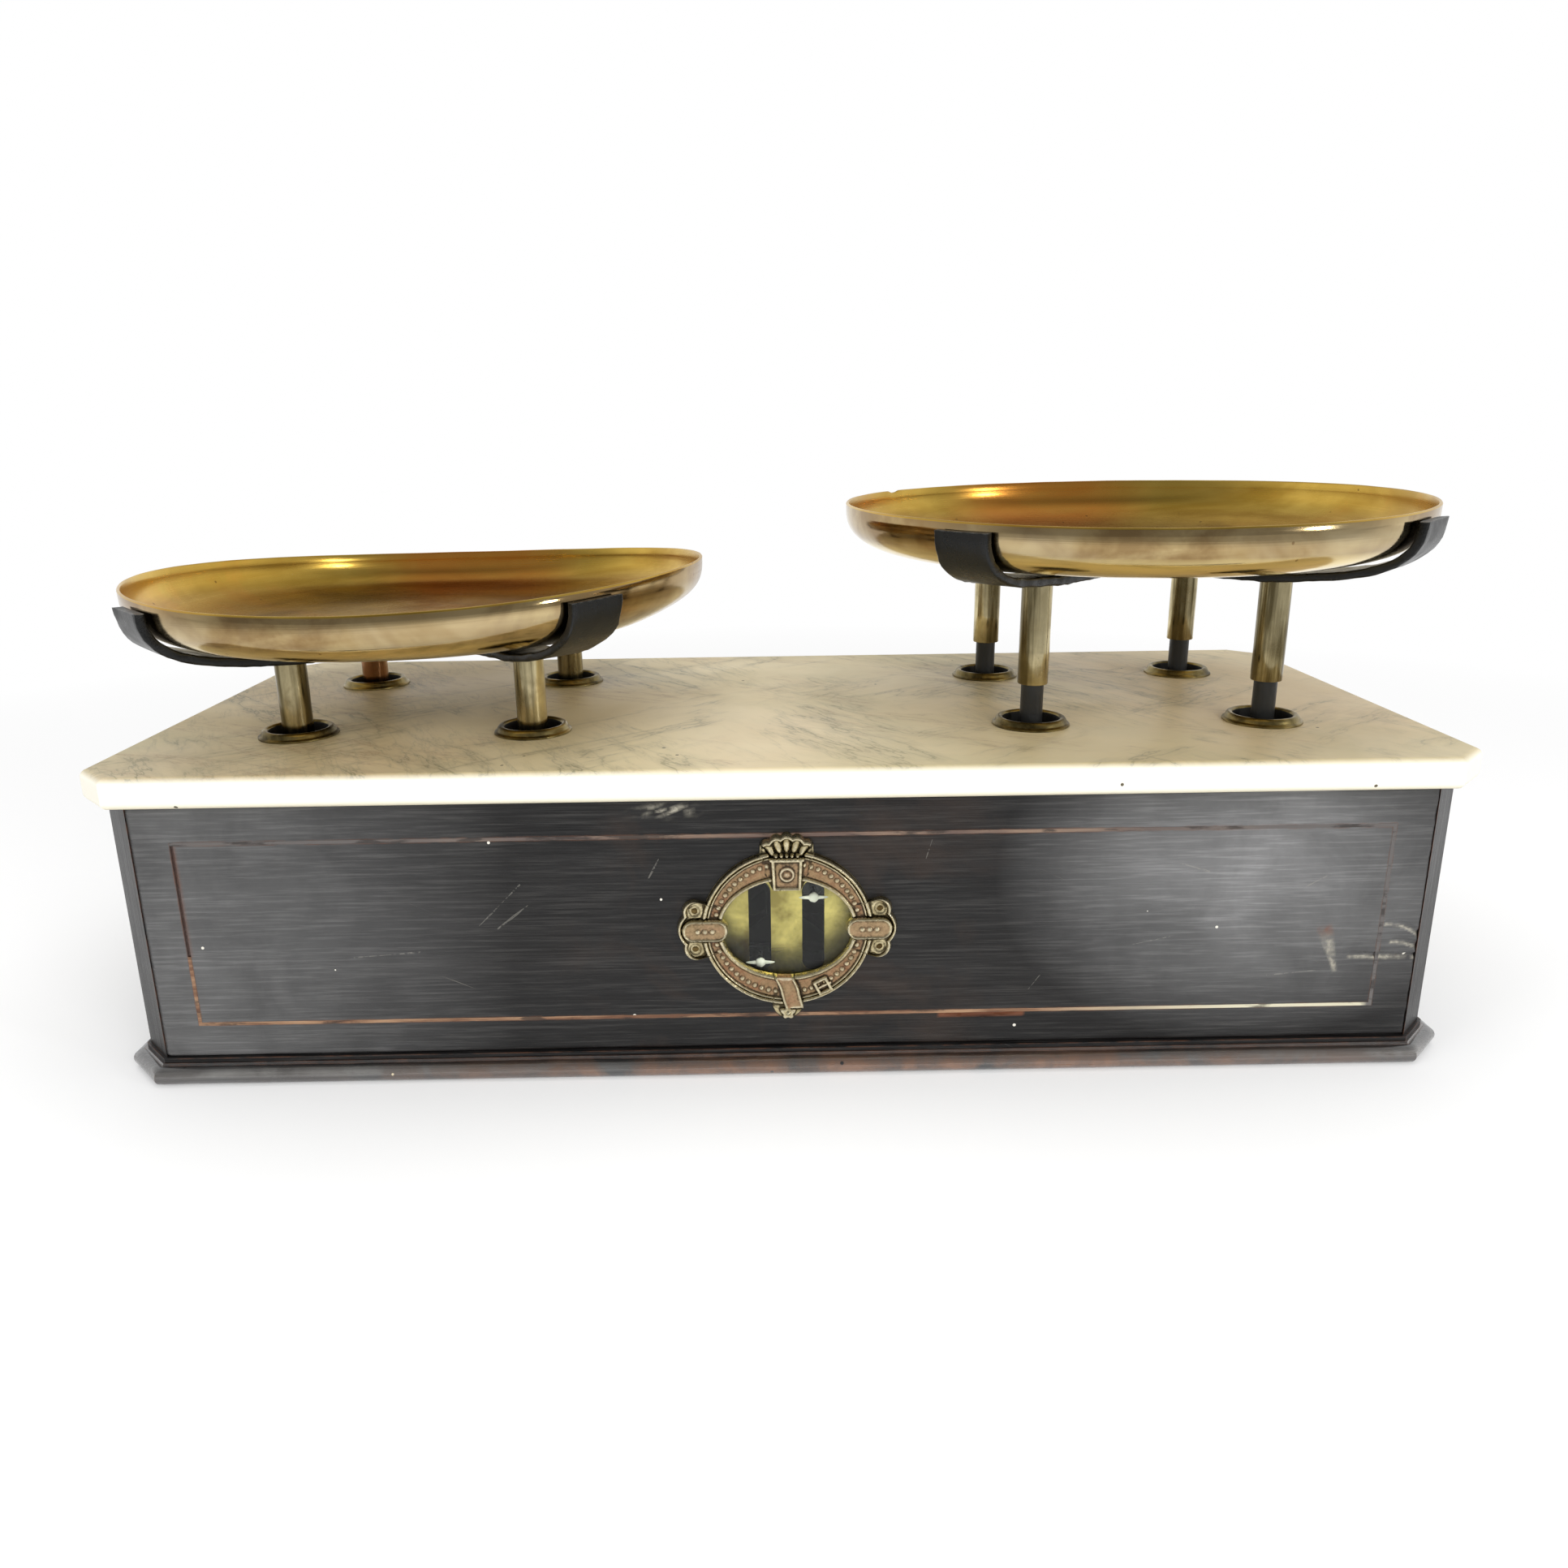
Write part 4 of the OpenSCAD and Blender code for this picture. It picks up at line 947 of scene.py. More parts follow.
def line_share(x, z, start, end, half_wide, bow=0.0):
    """1 on the middle of a mark from start to end, 0 past half_wide beside it; bow lifts its middle."""
    dx, dz = end[0] - start[0], end[1] - start[1]
    run = math.hypot(dx, dz)
    along = ((x - start[0]) * dx + (z - start[1]) * dz) / run ** 2
    off = ((z - start[1]) * dx - (x - start[0]) * dz) / run - bow * 4 * along * (1 - along)
    ends = fade_in(along, -0.02, 0.08) * fade_in(1 - along, -0.02, 0.05)
    return np.clip(1 - (off / half_wide) ** 2, 0, 1) * ends


def grooves(x, z):
    """Where the board is cut for the stringing."""
    (left, low), (right, high) = ((c.x / MM, c.z / MM) for c in (STRING_LOW, STRING_HIGH))
    within = (x > left) & (x < right) & (z > low) & (z < high)
    field = (x > left + STRING_W) & (x < right - STRING_W) & (z > low + STRING_W) & (z < high - STRING_W)
    return within & ~field

# %% Depth and wear of the front board
def board_depth(x, z):
    """How far the face lies behind the case's front plane."""
    spots = np.stack([x, 0 * x, z], -1)
    fine, slow = rough_of(spots * (0.12, 1, 1), 1.3, 3), rough_of(spots * (0.25, 1, 1), 11, 5)
    depth = 0.07 - 0.05 * fine - 0.07 * slow
    crumble = 1 + 0.7 * rough_of(spots, 1.6, 8)
    depth += 0.9 * crumble * line_share(x, z, *GOUGE, 1.5)
    depth -= 0.25 * line_share(x, z, *GOUGE_LIP, 1.1)
    for start, end, bow in CHIPS:
        depth += 0.8 * (1 + 0.3 * rough_of(spots, 2.2, 9)) * line_share(x, z, start, end, 1.9, bow)
    for at_x, at_z in DENTS:
        depth += 0.5 * np.exp(-((x - at_x) / 2.4) ** 2 - ((z - at_z) / 0.9) ** 2)
    split = 1.5 * np.clip(1 - ((x - SPLIT_X) / SPLIT_HALF) ** 2, 0, 1) * (1 + 0.2 * rough_of(spots, 6, 4))
    depth += 1.2 * fade_in(split - np.abs(z - SPLIT_Z), 0, 0.6)
    low_edge = 1 - fade_in(z - BOARD_LOW.z / MM, 0, 1.3)
    side_edge = 1 - fade_in(BOARD_HIGH.x / MM - np.abs(x), 0, 1.0 + 0.8 * rough_of(spots, 5, 2))
    depth += 0.9 * low_edge ** 2 + 0.8 * side_edge ** 2
    return np.where(grooves(x, z), GROOVE, depth)


def board_wear(x, z):
    """Shares of pale scuffing and of bare brown wood."""
    spots = np.stack([x, 0 * x, z], -1)
    rough = 0.5 + 0.9 * rough_of(spots, 2.2, 6)
    scuffs = [np.clip(line_share(x, z, *GOUGE_SCUFF, 1.0) * rough, 0, 0.8)]
    for start, end, bow in CHIPS:
        lifted = [(px, pz - 0.9) for px, pz in (start, end)]
        scuffs.append(0.8 * line_share(x, z, *lifted, 0.8, bow) * np.clip(rough + 0.3, 0, 1))
    stroke_wide = 4.0 - 2.6 * fade_in(66 - z, 0, 22)
    worn = line_share(x, z, *RUBBED_STROKE, stroke_wide) * np.clip(rough + 0.2, 0, 1)
    scuffs.append(0.65 * worn * fade_in(64 - z, 0, 8))
    flake = np.exp(-((x - FLAKE_AT[0]) / FLAKE_SIZE[0]) ** 2 - ((z - FLAKE_AT[1]) / FLAKE_SIZE[1]) ** 2)
    scuffs.append(flake * (rough_of(spots, 1.5, 12) > 0.08))
    by_split = (np.abs(x - SPLIT_X) < SPLIT_HALF) * line_share(x, z, *SPLIT_BARE, 1.9)
    in_groove = np.abs(x - STRING_LOW.x / MM - STRING_W / 2) < 1
    lost = in_groove & (z > STRING_LOST_ABOVE) & (z < STRING_HIGH.z / MM)
    bares = [0.8 * worn * fade_in(z, 58, 64), by_split, 0.35 * lost]
    return {"scuff": np.max(scuffs, axis=0), "bare": np.max(bares, axis=0)}

# %% Front board
def ring_of(work, loop, height, reach=None):
    """Carries a loop of edges on to a new depth, and to a new distance from the window's middle."""
    made = bmesh.ops.extrude_edge_only(work, edges=loop)["geom"]
    for vert in (v for v in made if isinstance(v, bmesh.types.BMVert)):
        vert.co.y = height
        if reach:
            flat = Vector((vert.co.x, 0, vert.co.z - WINDOW_Z)).normalized() * reach
            vert.co.x, vert.co.z = flat.x, WINDOW_Z + flat.z
    return [e for e in made if isinstance(e, bmesh.types.BMEdge)]


def board_mesh():
    (left, low), (right, high) = ((c.x / MM, c.z / MM) for c in (BOARD_LOW, BOARD_HIGH))
    string_x, string_z = STRING_HIGH.x / MM, (STRING_LOW.z / MM, STRING_HIGH.z / MM)
    columns = with_edges(spaced((left, 1.8), (-236, 3.0), (60, 1.6), (110, 3.0), (232, 0.7), (right, 1)),
                         [sx * (string_x - inset) for sx in (-1, 1) for inset in (0, STRING_W)])
    rows = with_edges(spaced((low, 0.7), (14, 1.3), (23, 0.7), (29, 1.3), (42, 0.7), (69, 1.3), (high, 1)),
                      [string_z[0], string_z[0] + STRING_W, string_z[1] - STRING_W, string_z[1]])
    x, z = np.meshgrid(columns, rows)
    mesh = net_mesh("front_board_worked", [np.stack([x, 0 * x, z], 2) * MM], around=False)
    work = bmesh.new()
    work.from_mesh(mesh)
    middle = Vector((0, 0, WINDOW_Z))
    holed = [f for f in work.faces if (f.calc_center_median() - middle).length < GLASS_HOLE * MM]
    bmesh.ops.delete(work, geom=holed, context="FACES")
    rim = [e for e in work.edges if e.is_boundary and (e.verts[0].co - middle).length < HOLE_CLEAR * MM]
    outside = [e for e in work.edges if e.is_boundary and e not in set(rim)]
    for vert in {v for e in rim for v in e.verts}:
        vert.co = middle + (vert.co - middle).normalized() * GLASS_HOLE * MM
    flat = np.array([v.co[:] for v in work.verts]) / MM
    for vert, depth in zip(work.verts, board_depth(flat[:, 0], flat[:, 2])):
        vert.co.y = FRONT_Y + depth * MM
    seat = ring_of(work, rim, FRONT_Y + GLASS_SEAT * MM)
    view = ring_of(work, seat, FRONT_Y + GLASS_SEAT * MM, VIEW_HOLE * MM)
    back = ring_of(work, view, BOARD_HIGH.y) + ring_of(work, outside, BOARD_HIGH.y)
    bmesh.ops.triangle_fill(work, use_beauty=True, edges=back, normal=(0, 1, 0))
    work.to_mesh(mesh)
    work.free()
    return tidy_mesh(mesh, sharp=50)


def paint(mesh, values):
    """Keeps one number for each vertex as an attribute that a finish reads."""
    for label, given in values.items():
        layer = mesh.attributes.new(label, "FLOAT", "POINT")
        layer.data.foreach_set("value", given.astype(np.float32))


front = board_mesh()
spots = points_of(front) / MM
paint(front, board_wear(spots[:, 0], spots[:, 2]))
add_piece("front_board_worked", front, (EBONISED_FRONT,), "case", "ebonised_wood", "front_board")

# %% [markdown]
# The base moulding is one run of bead and cove, mitred at the eight corners. Its section is
# drawn once and set round the base: every row of the net is the base's outline moved out by
# one point of the section. Small dents come from noise.

# %% Base moulding
MOULD_HIGH, BASE_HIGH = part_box("base_moulding")[1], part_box("base_board")[1]
BASE_HALF = (BASE_HIGH.x / MM, BASE_HIGH.y / MM)
BASE_CUT = 15.3
MOULD_OUT, MOULD_H = (MOULD_HIGH.x - BASE_HIGH.x) / MM, MOULD_HIGH.z / MM
BEAD_R = 4.0
# Each set of dents: stretch, size, depth in mm, and what it adds to the seed.
MOULD_DENTS = [((0.3, 1, 1), 6 * MM, 0.18, 0), ((1, 1, 1), 3.5 * MM, 0.10, 4)]


def outline_at(out, counts=(230, 6, 90, 6)):
    """Points round the base's outline, moved out by this much, the same number on each side."""
    half_x, half_y, cut = BASE_HALF[0] + out, BASE_HALF[1] + out, BASE_CUT + (2 - math.sqrt(2)) * out
    half = [(half_x - cut, -half_y), (half_x, cut - half_y), (half_x, half_y - cut), (half_x - cut, half_y)]
    corners = [(cut - half_x, -half_y), *half, *[(-px, -py) for px, py in half[:3]]]
    found = []
    for k, (px, py) in enumerate(corners):
        qx, qy = corners[(k + 1) % 8]
        share = np.arange(counts[k % 4]) / counts[k % 4]
        found.append(np.stack([px + (qx - px) * share, py + (qy - py) * share], 1))
    return np.concatenate(found)


def mould_section():
    """The bead and cove as (out, height), from the top by the case round to the bottom."""
    cove = [(0, MOULD_H), (0.8, MOULD_H), (1.0, MOULD_H - 0.6), (1.3, MOULD_H - 1.0)]
    bead = [(MOULD_OUT - BEAD_R + BEAD_R * math.cos(a), BEAD_R + BEAD_R * math.sin(a))
            for a in np.linspace(math.radians(100), math.radians(-86), 19)]
    return [*cove, *bead, (1.0, 0), (0, 0), (0, MOULD_H / 2)]


net = np.stack([np.insert(outline_at(out), 2, height, axis=1) for out, height in mould_section()]) * MM
shown = fade_in(net[..., 2], 0.2 * MM, 1.5 * MM) * fade_in(np.abs(net[..., 1]) / MM - BASE_HALF[1], 0.2, 1.5)
for axis, seed in ((1, 21), (2, 22)):
    net[..., axis] += shown * MM * sum(deep * rough_of(net * stretch, size, seed + more)
                                       for stretch, size, deep, more in MOULD_DENTS)
add_piece("base_moulding_run", net_mesh("base_moulding_run", [net], closed=True, sharp=35),
          (EBONISED_MOULDING,), "case", "ebonised_wood", "base_moulding")

# %% [markdown]
# Each pointer is a small white cross bar with a round drop in its middle, on a thin pin that
# comes forward through the slot. Bar and drop are one turned form, thick in the middle and
# drawn out to points, and a little lumpy, like sealing wax.

# %% Pointers
BAR_HALF, BAR_R, DROP_R, FLATTENED, PIN_R = 6.6, 0.95, 2.1, 0.6, 0.9

for side, name in SIDES.items():
    low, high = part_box(f"{name}_pointer")
    centre = np.array(((low.x + high.x) / 2, low.y + 1.5 * MM, (low.z + high.z) / 2))
    x = np.linspace(-BAR_HALF, BAR_HALF, 45)
    bar_r = BAR_R * np.clip(1 - (np.abs(x) / BAR_HALF) ** 2.4, 0, 1) ** 0.6
    drop_r = DROP_R * np.sqrt(np.clip(1 - (x / DROP_R) ** 2, 0, 1))
    lumps = np.array([noise.noise(Vector((v * 0.8, 5 * side, 0))) for v in x])
    thick = (np.hypot(bar_r, drop_r) * (1 + 0.12 * lumps))[:, None]
    a = np.arange(20) / 20 * math.tau
    cross = np.stack([x[:, None] + 0 * a, FLATTENED * thick * np.cos(a), thick * np.sin(a)], 2) * MM
    depth = np.array([0, 0, high.y - centre[1], high.y - centre[1]])[:, None]
    reach = np.array([0, PIN_R, PIN_R, 0])[:, None] * MM
    pin = np.stack([reach * np.cos(a), depth + 0 * a, reach * np.sin(a)], 2)
    mesh = net_mesh(f"{name}_pointer_bar", [cross + centre, pin + centre])
    add_piece(f"{name}_pointer_bar", mesh, (POINTER_WHITE, BLACK_IRON), f"{name}_carrier", "pointer_white",
              f"{name}_pointer")
    on_pin = [face.center.y > centre[1] + 2 * MM for face in mesh.polygons]
    mesh.polygons.foreach_set("material_index", on_pin)

# %% [markdown]
# Ferrules, sleeves and screws are turned parts that repeat. Each kind is drawn once, as a
# half section spun about its axis, and Geometry Nodes sets a copy at each place, turned by a
# random angle so that the wear on its finish never lines up.

# %% The copying tree
def make_copies_tree():
    tree, given, leave = geometry_tree("turned_copies", {
        "Places": "Object", "Template": "Object", "Axis": "Vector", "Seed": "Int", "Finish": "Material"})
    places, template = (wire(tree, "GeometryNodeObjectInfo", {"Object": given[label]}, "Geometry")
                        for label in ("Places", "Template"))
    spots = wire(tree, "GeometryNodeMeshToPoints", {"Mesh": places})
    spin = wire(tree, "FunctionNodeRandomValue", {"Seed": given["Seed"], 3: math.tau}, 1, data_type="FLOAT")
    angles = wire(tree, "ShaderNodeVectorMath", {0: given["Axis"], 3: spin}, operation="SCALE")
    set_down = wire(tree, "GeometryNodeInstanceOnPoints", {"Points": spots, "Instance": template,
                                                           "Rotation": angles})
    return end_tree(tree, set_down, given["Finish"], leave)


COPIES_TREE = make_copies_tree()
print("copying tree nodes:", len(COPIES_TREE.nodes))


def turned_copies(name, half_section, places, finish, axis=(0, 0, 1), seed=1, sides=64, rough=0.0):
    """Copies of a turned part, given by its half section (radius, height) in mm, as one mesh."""
    profile = np.array(half_section) * MM
    a = np.arange(sides) / sides * math.tau
    out, up = profile[:, :1], profile[:, 1:]
    net = np.stack([out * np.cos(a), out * np.sin(a), up + 0 * a], 2)
    net[..., :2] *= 1 + rough * rough_of(net, 3.5 * MM, seed)[..., None]
    if axis == (0, 1, 0):
        net = np.stack([net[..., 0], -net[..., 2], net[..., 1]], 2)
    shape = net_mesh(name + "_template", [net], closed=profile[0, 0] > 0, sharp=30)
    marks = bpy.data.meshes.new(name + "_places")
    marks.from_pydata([tuple(p) for p in places], [], [])
    template, spots = link_object(name + "_template", shape), link_object(name + "_places", marks)
    mesh = run_tree(name, COPIES_TREE, Places=spots, Template=template, Axis=axis, Seed=seed, Finish=finish)
    bpy.data.objects.remove(template)
    bpy.data.objects.remove(spots)
    return mesh

# %% Ferrules and sleeves
MARBLE_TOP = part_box("marble_top")[1].z
POST_PLACES = {side: [(side * PAN_X + dx * POST_DX / 2, dy * POST_DY / 2) for dx in (-1, 1) for dy in (-1, 1)]
               for side in SIDES}
BORE = 13.1
FERRULE = [(BORE + out, up) for out, up in
           ((0, -13), (1.6, -13), (1.6, -0.3), (4.5, -0.3), (4.9, 0.2), (4.8, 0.8), (4.3, 1.2), (3.7, 1.5),
            (3.4, 2.0), (3.2, 2.8), (2.7, 3.5), (2.0, 3.9), (1.3, 3.9), (0.6, 3.6), (0.15, 3.0), (0, 2.2),
            (0, 0))]
SLEEVE_R, SLEEVE_BORE = 7, 4.85


def sleeve_section(tall):
    """The sleeve's half section, from its worn foot to its square top."""
    foot = [(SLEEVE_BORE, 0.3), (5.2, 0), (6.5, 0), (6.85, 0.15), (SLEEVE_R, 0.5)]
    wall = [(SLEEVE_R, tall / 3), (SLEEVE_R, 2 * tall / 3), (SLEEVE_R, tall - 0.3)]
    return [*foot, *wall, (6.8, tall), (SLEEVE_BORE, tall)]


for side, name in SIDES.items():
    places = POST_PLACES[side]
    rings = turned_copies(f"{name}_ferrule_rings", FERRULE, [(x, y, MARBLE_TOP) for x, y in places],
                          FERRULE_BRASS, seed=3 + side, rough=0.006)
    add_piece(f"{name}_ferrule_rings", rings, (FERRULE_BRASS, BORE_DIRT_AND_SHADE), "case", "aged_brass",
              f"{name}_ferrules")
    # Faces inside the bore take the dark dirt and painted shade.
    off_axis = [min(math.dist(face.center[:2], spot) for spot in places) for face in rings.polygons]
    rings.polygons.foreach_set("material_index", [off < (BORE + 0.3) * MM for off in off_axis])
    low, high = (corner.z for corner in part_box(f"{name}_sleeves"))
    tubes = turned_copies(f"{name}_sleeve_tubes", sleeve_section((high - low) / MM),
                          [(x, y, low) for x, y in places], SLEEVE_BRASS, seed=7 + side)
    add_piece(f"{name}_sleeve_tubes", tubes, (SLEEVE_BRASS,), f"{name}_carrier", "post_brass",
              f"{name}_sleeves")

# %% [markdown]
# The window surround is a small brass casting: an oval belt between two rims, with a buckle
# low on the right, rounded cartouches at the sides, a shield under a leafy crest at the top and
# the belt's loose end hanging at the bottom. Its relief is low, so it is modelled as a medallist
# would think of it, as heights over a flat plate. The net runs round the opening, from its
# edge to the outline. Each feature raises the net where it lies. The fields stay bare.

# %% Relief helpers, in millimetres
OPENING = (28.8, 22.6)
RING = (37.5, 36.2)
BED = 1.8


def oval_gap(x, y, a, b):
    """Distance outside the oval with half axes a and b; negative inside. True near its line."""
    k = np.hypot(x / a, y / b)
    return (k - 1) * k / np.hypot(x / a ** 2, y / b ** 2)


def oblong_gap(x, y, half_w, half_h, radius):
    """Distance outside an oblong with rounded corners; negative inside."""
    over = np.maximum(np.abs(x) - half_w + radius, 0), np.maximum(np.abs(y) - half_h + radius, 0)
    inside = np.minimum(np.maximum(np.abs(x) - half_w + radius, np.abs(y) - half_h + radius), 0)
    return np.hypot(*over) + inside - radius


def plateau(gap, edge=0.5):
    """1 inside a form, 0 outside, with a sloping side."""
    return fade_in(-gap, -edge / 2, edge / 2)


def bar(gap, radius):
    """Height share of a round bar whose middle line is where gap is 0."""
    return np.sqrt(np.clip(1 - (gap / radius) ** 2, 0, 1))


def laid_over(ground, cleared, form):
    """The ground with a share of it cleared away, or the form where that is higher."""
    return np.maximum(ground * (1 - cleared), form)


def ring_reach(a, half_w, half_h):
    return half_w * half_h / np.hypot(half_h * np.cos(a), half_w * np.sin(a))


def lobe_reach(a, x, y, radius):
    """How far a round lobe reaches from the window's middle in direction a, or 0."""
    off = y * np.cos(a) - x * np.sin(a)
    far = x * np.cos(a) + y * np.sin(a) + np.sqrt(np.maximum(radius ** 2 - off ** 2, 0))
    return np.where(np.abs(off) < radius, far, 0)

# %% The surround's outline
SCREW_X, SCREW_Y = 40.2, 9.0
EAR_SCREWS = [(sx * SCREW_X, sy * SCREW_Y) for sx in (-1, 1) for sy in (-1, 1)]
# Round lobes that the outline follows: x, y, radius.
EARS = [(sx * x, y, radius) for sx in (-1, 1)
        for x, y, radius in ((38.6, 0, 9.4), (40.4, 8.6, 5.2), (40.4, -8.6, 5.2))]
FOOT_LOBE = (0, -36.5, 6.9)
CREST_TOP, CREST_HALF = 44.0, math.radians(17.5)
LEAVES = 5
CARTOUCHE_X, CARTOUCHE_LONG, CARTOUCHE_HALF = 35.7, 10.0, 5.0
CARTOUCHE_END = CARTOUCHE_X - CARTOUCHE_LONG + CARTOUCHE_HALF
SHIELD_FOOT, SHIELD_Y, SHIELD_HALF, SHIELD_TALL = 18.4, 25.6, 6.5, 7.4


def surround_reach(a):
    reach = ring_reach(a, *RING)
    for x, y, radius in [*EARS, FOOT_LOBE]:
        reach = np.maximum(reach, lobe_reach(a, x, y, radius))
    off = np.arctan2(np.cos(a), np.sin(a))
    scallop = np.abs(np.sin(LEAVES * math.pi / 2 * off / CREST_HALF + math.pi / 2 * (LEAVES % 2)))
    crest = CREST_TOP - 3.4 * (off / CREST_HALF) ** 2 - 1.1 * (1 - scallop)
    share = fade_in(CREST_HALF * 1.10 - np.abs(off), 0, CREST_HALF * 0.16)
    return reach + np.maximum(crest - reach, 0) * share


def opening_reach(a):
    """The inner edge: an oval, but for the cartouches and the shield that stand over it."""
    reach = ring_reach(a, *OPENING)
    for sx in (-1, 1):
        off = sx * CARTOUCHE_END * np.sin(a)
        enter = sx * CARTOUCHE_END * np.cos(a) - np.sqrt(np.maximum(CARTOUCHE_HALF ** 2 - off ** 2, 0))
        reach = np.where((np.abs(off) < CARTOUCHE_HALF) & (enter > 0), np.minimum(reach, enter), reach)
    foot = SHIELD_FOOT / np.maximum(np.sin(a), 0.1)
    return np.where(np.abs(foot * np.cos(a)) < SHIELD_HALF - 0.1, np.minimum(reach, foot), reach)

# %% The surround's relief: belt, cartouches and shield
PELLET_R, PELLET_STEP, CARTOUCHE_STEP = 1.1, 3.5, 3.2
BELT_RADIUS = 33


def belt_and_ears(x, y, edge):
    """Height of the casting over the case's front, and the share of brown lacquer on it."""
    ring, opening = oval_gap(x, y, *RING), oval_gap(x, y, *OPENING)
    brown = plateau(ring + 3.3, 0.6) * plateau(2.1 - opening, 0.6)
    height = BED + 1.0 * bar(ring + 2.75, 0.5)
    for line, top in ((ring + 1.15, 1.5), (opening - 1.0, 1.2)):
        height = np.maximum(height, BED - 0.2 + (top + 0.2) * bar(line, 1.0))
    on_ears = fade_in(np.abs(x), 36.0, 38.0) * fade_in(30 - np.abs(y), 0, 6)
    height = height * (1 - on_ears) + np.maximum(2.0, height) * on_ears
    height = np.maximum(height, (1.9 + 1.5 * bar(edge - 1.1, 1.0)) * on_ears)
    along = np.arctan2(y, x) * BELT_RADIUS / PELLET_STEP
    pellet = bar(np.hypot(ring + 6.0, (along % 1 - 0.5) * PELLET_STEP), PELLET_R) * (brown > 0.5)
    height, brown = height + 0.75 * pellet, brown * (1 - 0.6 * pellet)
    for at_x, at_y in EAR_SCREWS:
        far = np.hypot(x - at_x, y - at_y)
        height = np.maximum(height, (1.9 + 0.25 * bar(far - 3.2, 0.8)) * (far < 4.2))
        height = np.where(far < 2.7, np.maximum(BED, 0.6 + 1.4 * fade_in(far, 2.1, 2.7)), height)
    return height, brown


def cartouches(x, y, height, brown):
    """Adds the pillow-shaped cartouches at the sides, each with a rim and a row of pellets."""
    for sx in (-1, 1):
        off = x - sx * CARTOUCHE_X
        field = oblong_gap(off, y, CARTOUCHE_LONG, CARTOUCHE_HALF, CARTOUCHE_HALF - 0.05)
        pillow = 1.95 + 0.35 * np.cos(np.clip(y / CARTOUCHE_HALF, -1, 1) * 1.57)
        height = laid_over(height, plateau(field - 0.5, 0.4), BED + pillow * plateau(field, 0.5))
        height = np.maximum(height, BED + 2.7 * bar(field + 0.75, 0.7))
        brown = laid_over(brown, plateau(field, 0.4), 0.8 * plateau(field + 1.3, 0.5))
        row = ((off / CARTOUCHE_STEP + 0.5) % 1 - 0.5) * CARTOUCHE_STEP
        pellet = bar(np.hypot(y, row), PELLET_R) * (np.abs(off) < 1.5 * CARTOUCHE_STEP)
        height, brown = height + 0.6 * pellet, brown * (1 - 0.5 * pellet)
    return height, brown


def shield_and_boss(x, y, height, brown):
    """Adds the shield, a little narrower at its foot, with a ring and a boss on it."""
    narrowed = SHIELD_HALF + 0.05 * (y - 25)
    shield = np.maximum(oblong_gap(x * SHIELD_HALF / narrowed, y - SHIELD_Y, SHIELD_HALF, SHIELD_TALL, 0.8),
                        SHIELD_FOOT - y - 0.22 * (SHIELD_HALF - np.abs(x)))
    rim = 0.6 * bar(shield + 0.8, 0.7)
    height = laid_over(height, plateau(shield, 0.2), 4.0 * plateau(shield, 0.6) + rim)
    brown = laid_over(brown, plateau(shield, 0.4), 0.85 * plateau(shield + 1.6, 0.5))
    height -= 0.3 * plateau(shield + 1.6, 0.5)
    far = np.hypot(x, y - 25.9)
    boss = 4.1 + 0.55 * bar(far - 2.7, 0.5) + 0.5 * bar(far, 1.3)
    return np.maximum(height, boss * (far < 3.3)), brown

# %% The surround's relief: crest, belt's end and buckle
CREST_Y, BEAD_STEP = 24.0, 2.3
TAIL_HALF, TAIL_END = 4.3, -37.6
ROSETTE_Y = -39.8
BUCKLE_TURN, BUCKLE_OVAL = math.radians(-63), (33.864, 30.6)


def leafy_crest(x, y, edge, height, brown):
    """Adds the crest over the shield: a fan of leaves over a row of beads on a shelf."""
    fan, far = np.arctan2(x, y - CREST_Y), np.hypot(x, y - CREST_Y)
    lobe = fan / math.radians(37) * LEAVES / 2
    ridge = np.abs(np.sin(lobe * math.pi + math.pi / 2 * (LEAVES % 2)))
    on = plateau(np.abs(fan) - math.radians(36), math.radians(5)) * fade_in(y, 32.2, 33.4)
    leaf = 1.7 + 1.5 * ridge * fade_in(far, 9.0, 13.0) - 0.5 * bar(far - 14.0, 3.0)
    height = laid_over(height, on, on * leaf)
    height = np.maximum(height, (3.0 + 1.3 * bar(edge - 1.2, 1.1)) * on * (edge < 2.3))
    for k in range(-2, 3):
        bead = np.hypot(x - BEAD_STEP * k, y - 34.2)
        height = np.maximum(height, (4.3 * bar(bead, 1.15) + 0.4) * (bead < 1.15))
    shelf = oblong_gap(x, y - 32.4, 7.6, 0.75, 0.6)
    return np.maximum(height, 4.5 * plateau(shelf, 0.5)), brown * (1 - on)


def belt_end(x, y, height, brown):
    """Adds the belt's loose end, which hangs in a slow bend, and the rosette under it."""
    bend = x + 2.4 - 0.01155 * (y + 21.5) ** 2 - 2.6 * fade_in(-y, 19, 29)
    tail = np.maximum(np.abs(bend) - TAIL_HALF, np.maximum(TAIL_END - y, y + 21.0 + 0.25 * x))
    rims = 0.5 * bar(np.abs(bend) - 3.6, 0.55) * plateau(tail, 0.3)
    height = laid_over(height, plateau(tail, 0.2), 4.0 * plateau(tail, 0.6) + rims)
    brown = laid_over(brown, plateau(tail, 0.4), 0.9 * plateau(np.maximum(tail, np.abs(bend) - 3.1), 0.5))
    petals = np.hypot(x, y - ROSETTE_Y)
    scallops = 3.1 + 0.7 * np.cos(5 * np.arctan2(x, y - ROSETTE_Y))
    rosette = (3.2 + 0.9 * bar(petals, 3.4)) * plateau(petals - scallops, 0.6) + 0.8 * bar(petals, 0.9)
    return np.maximum(height, rosette), brown


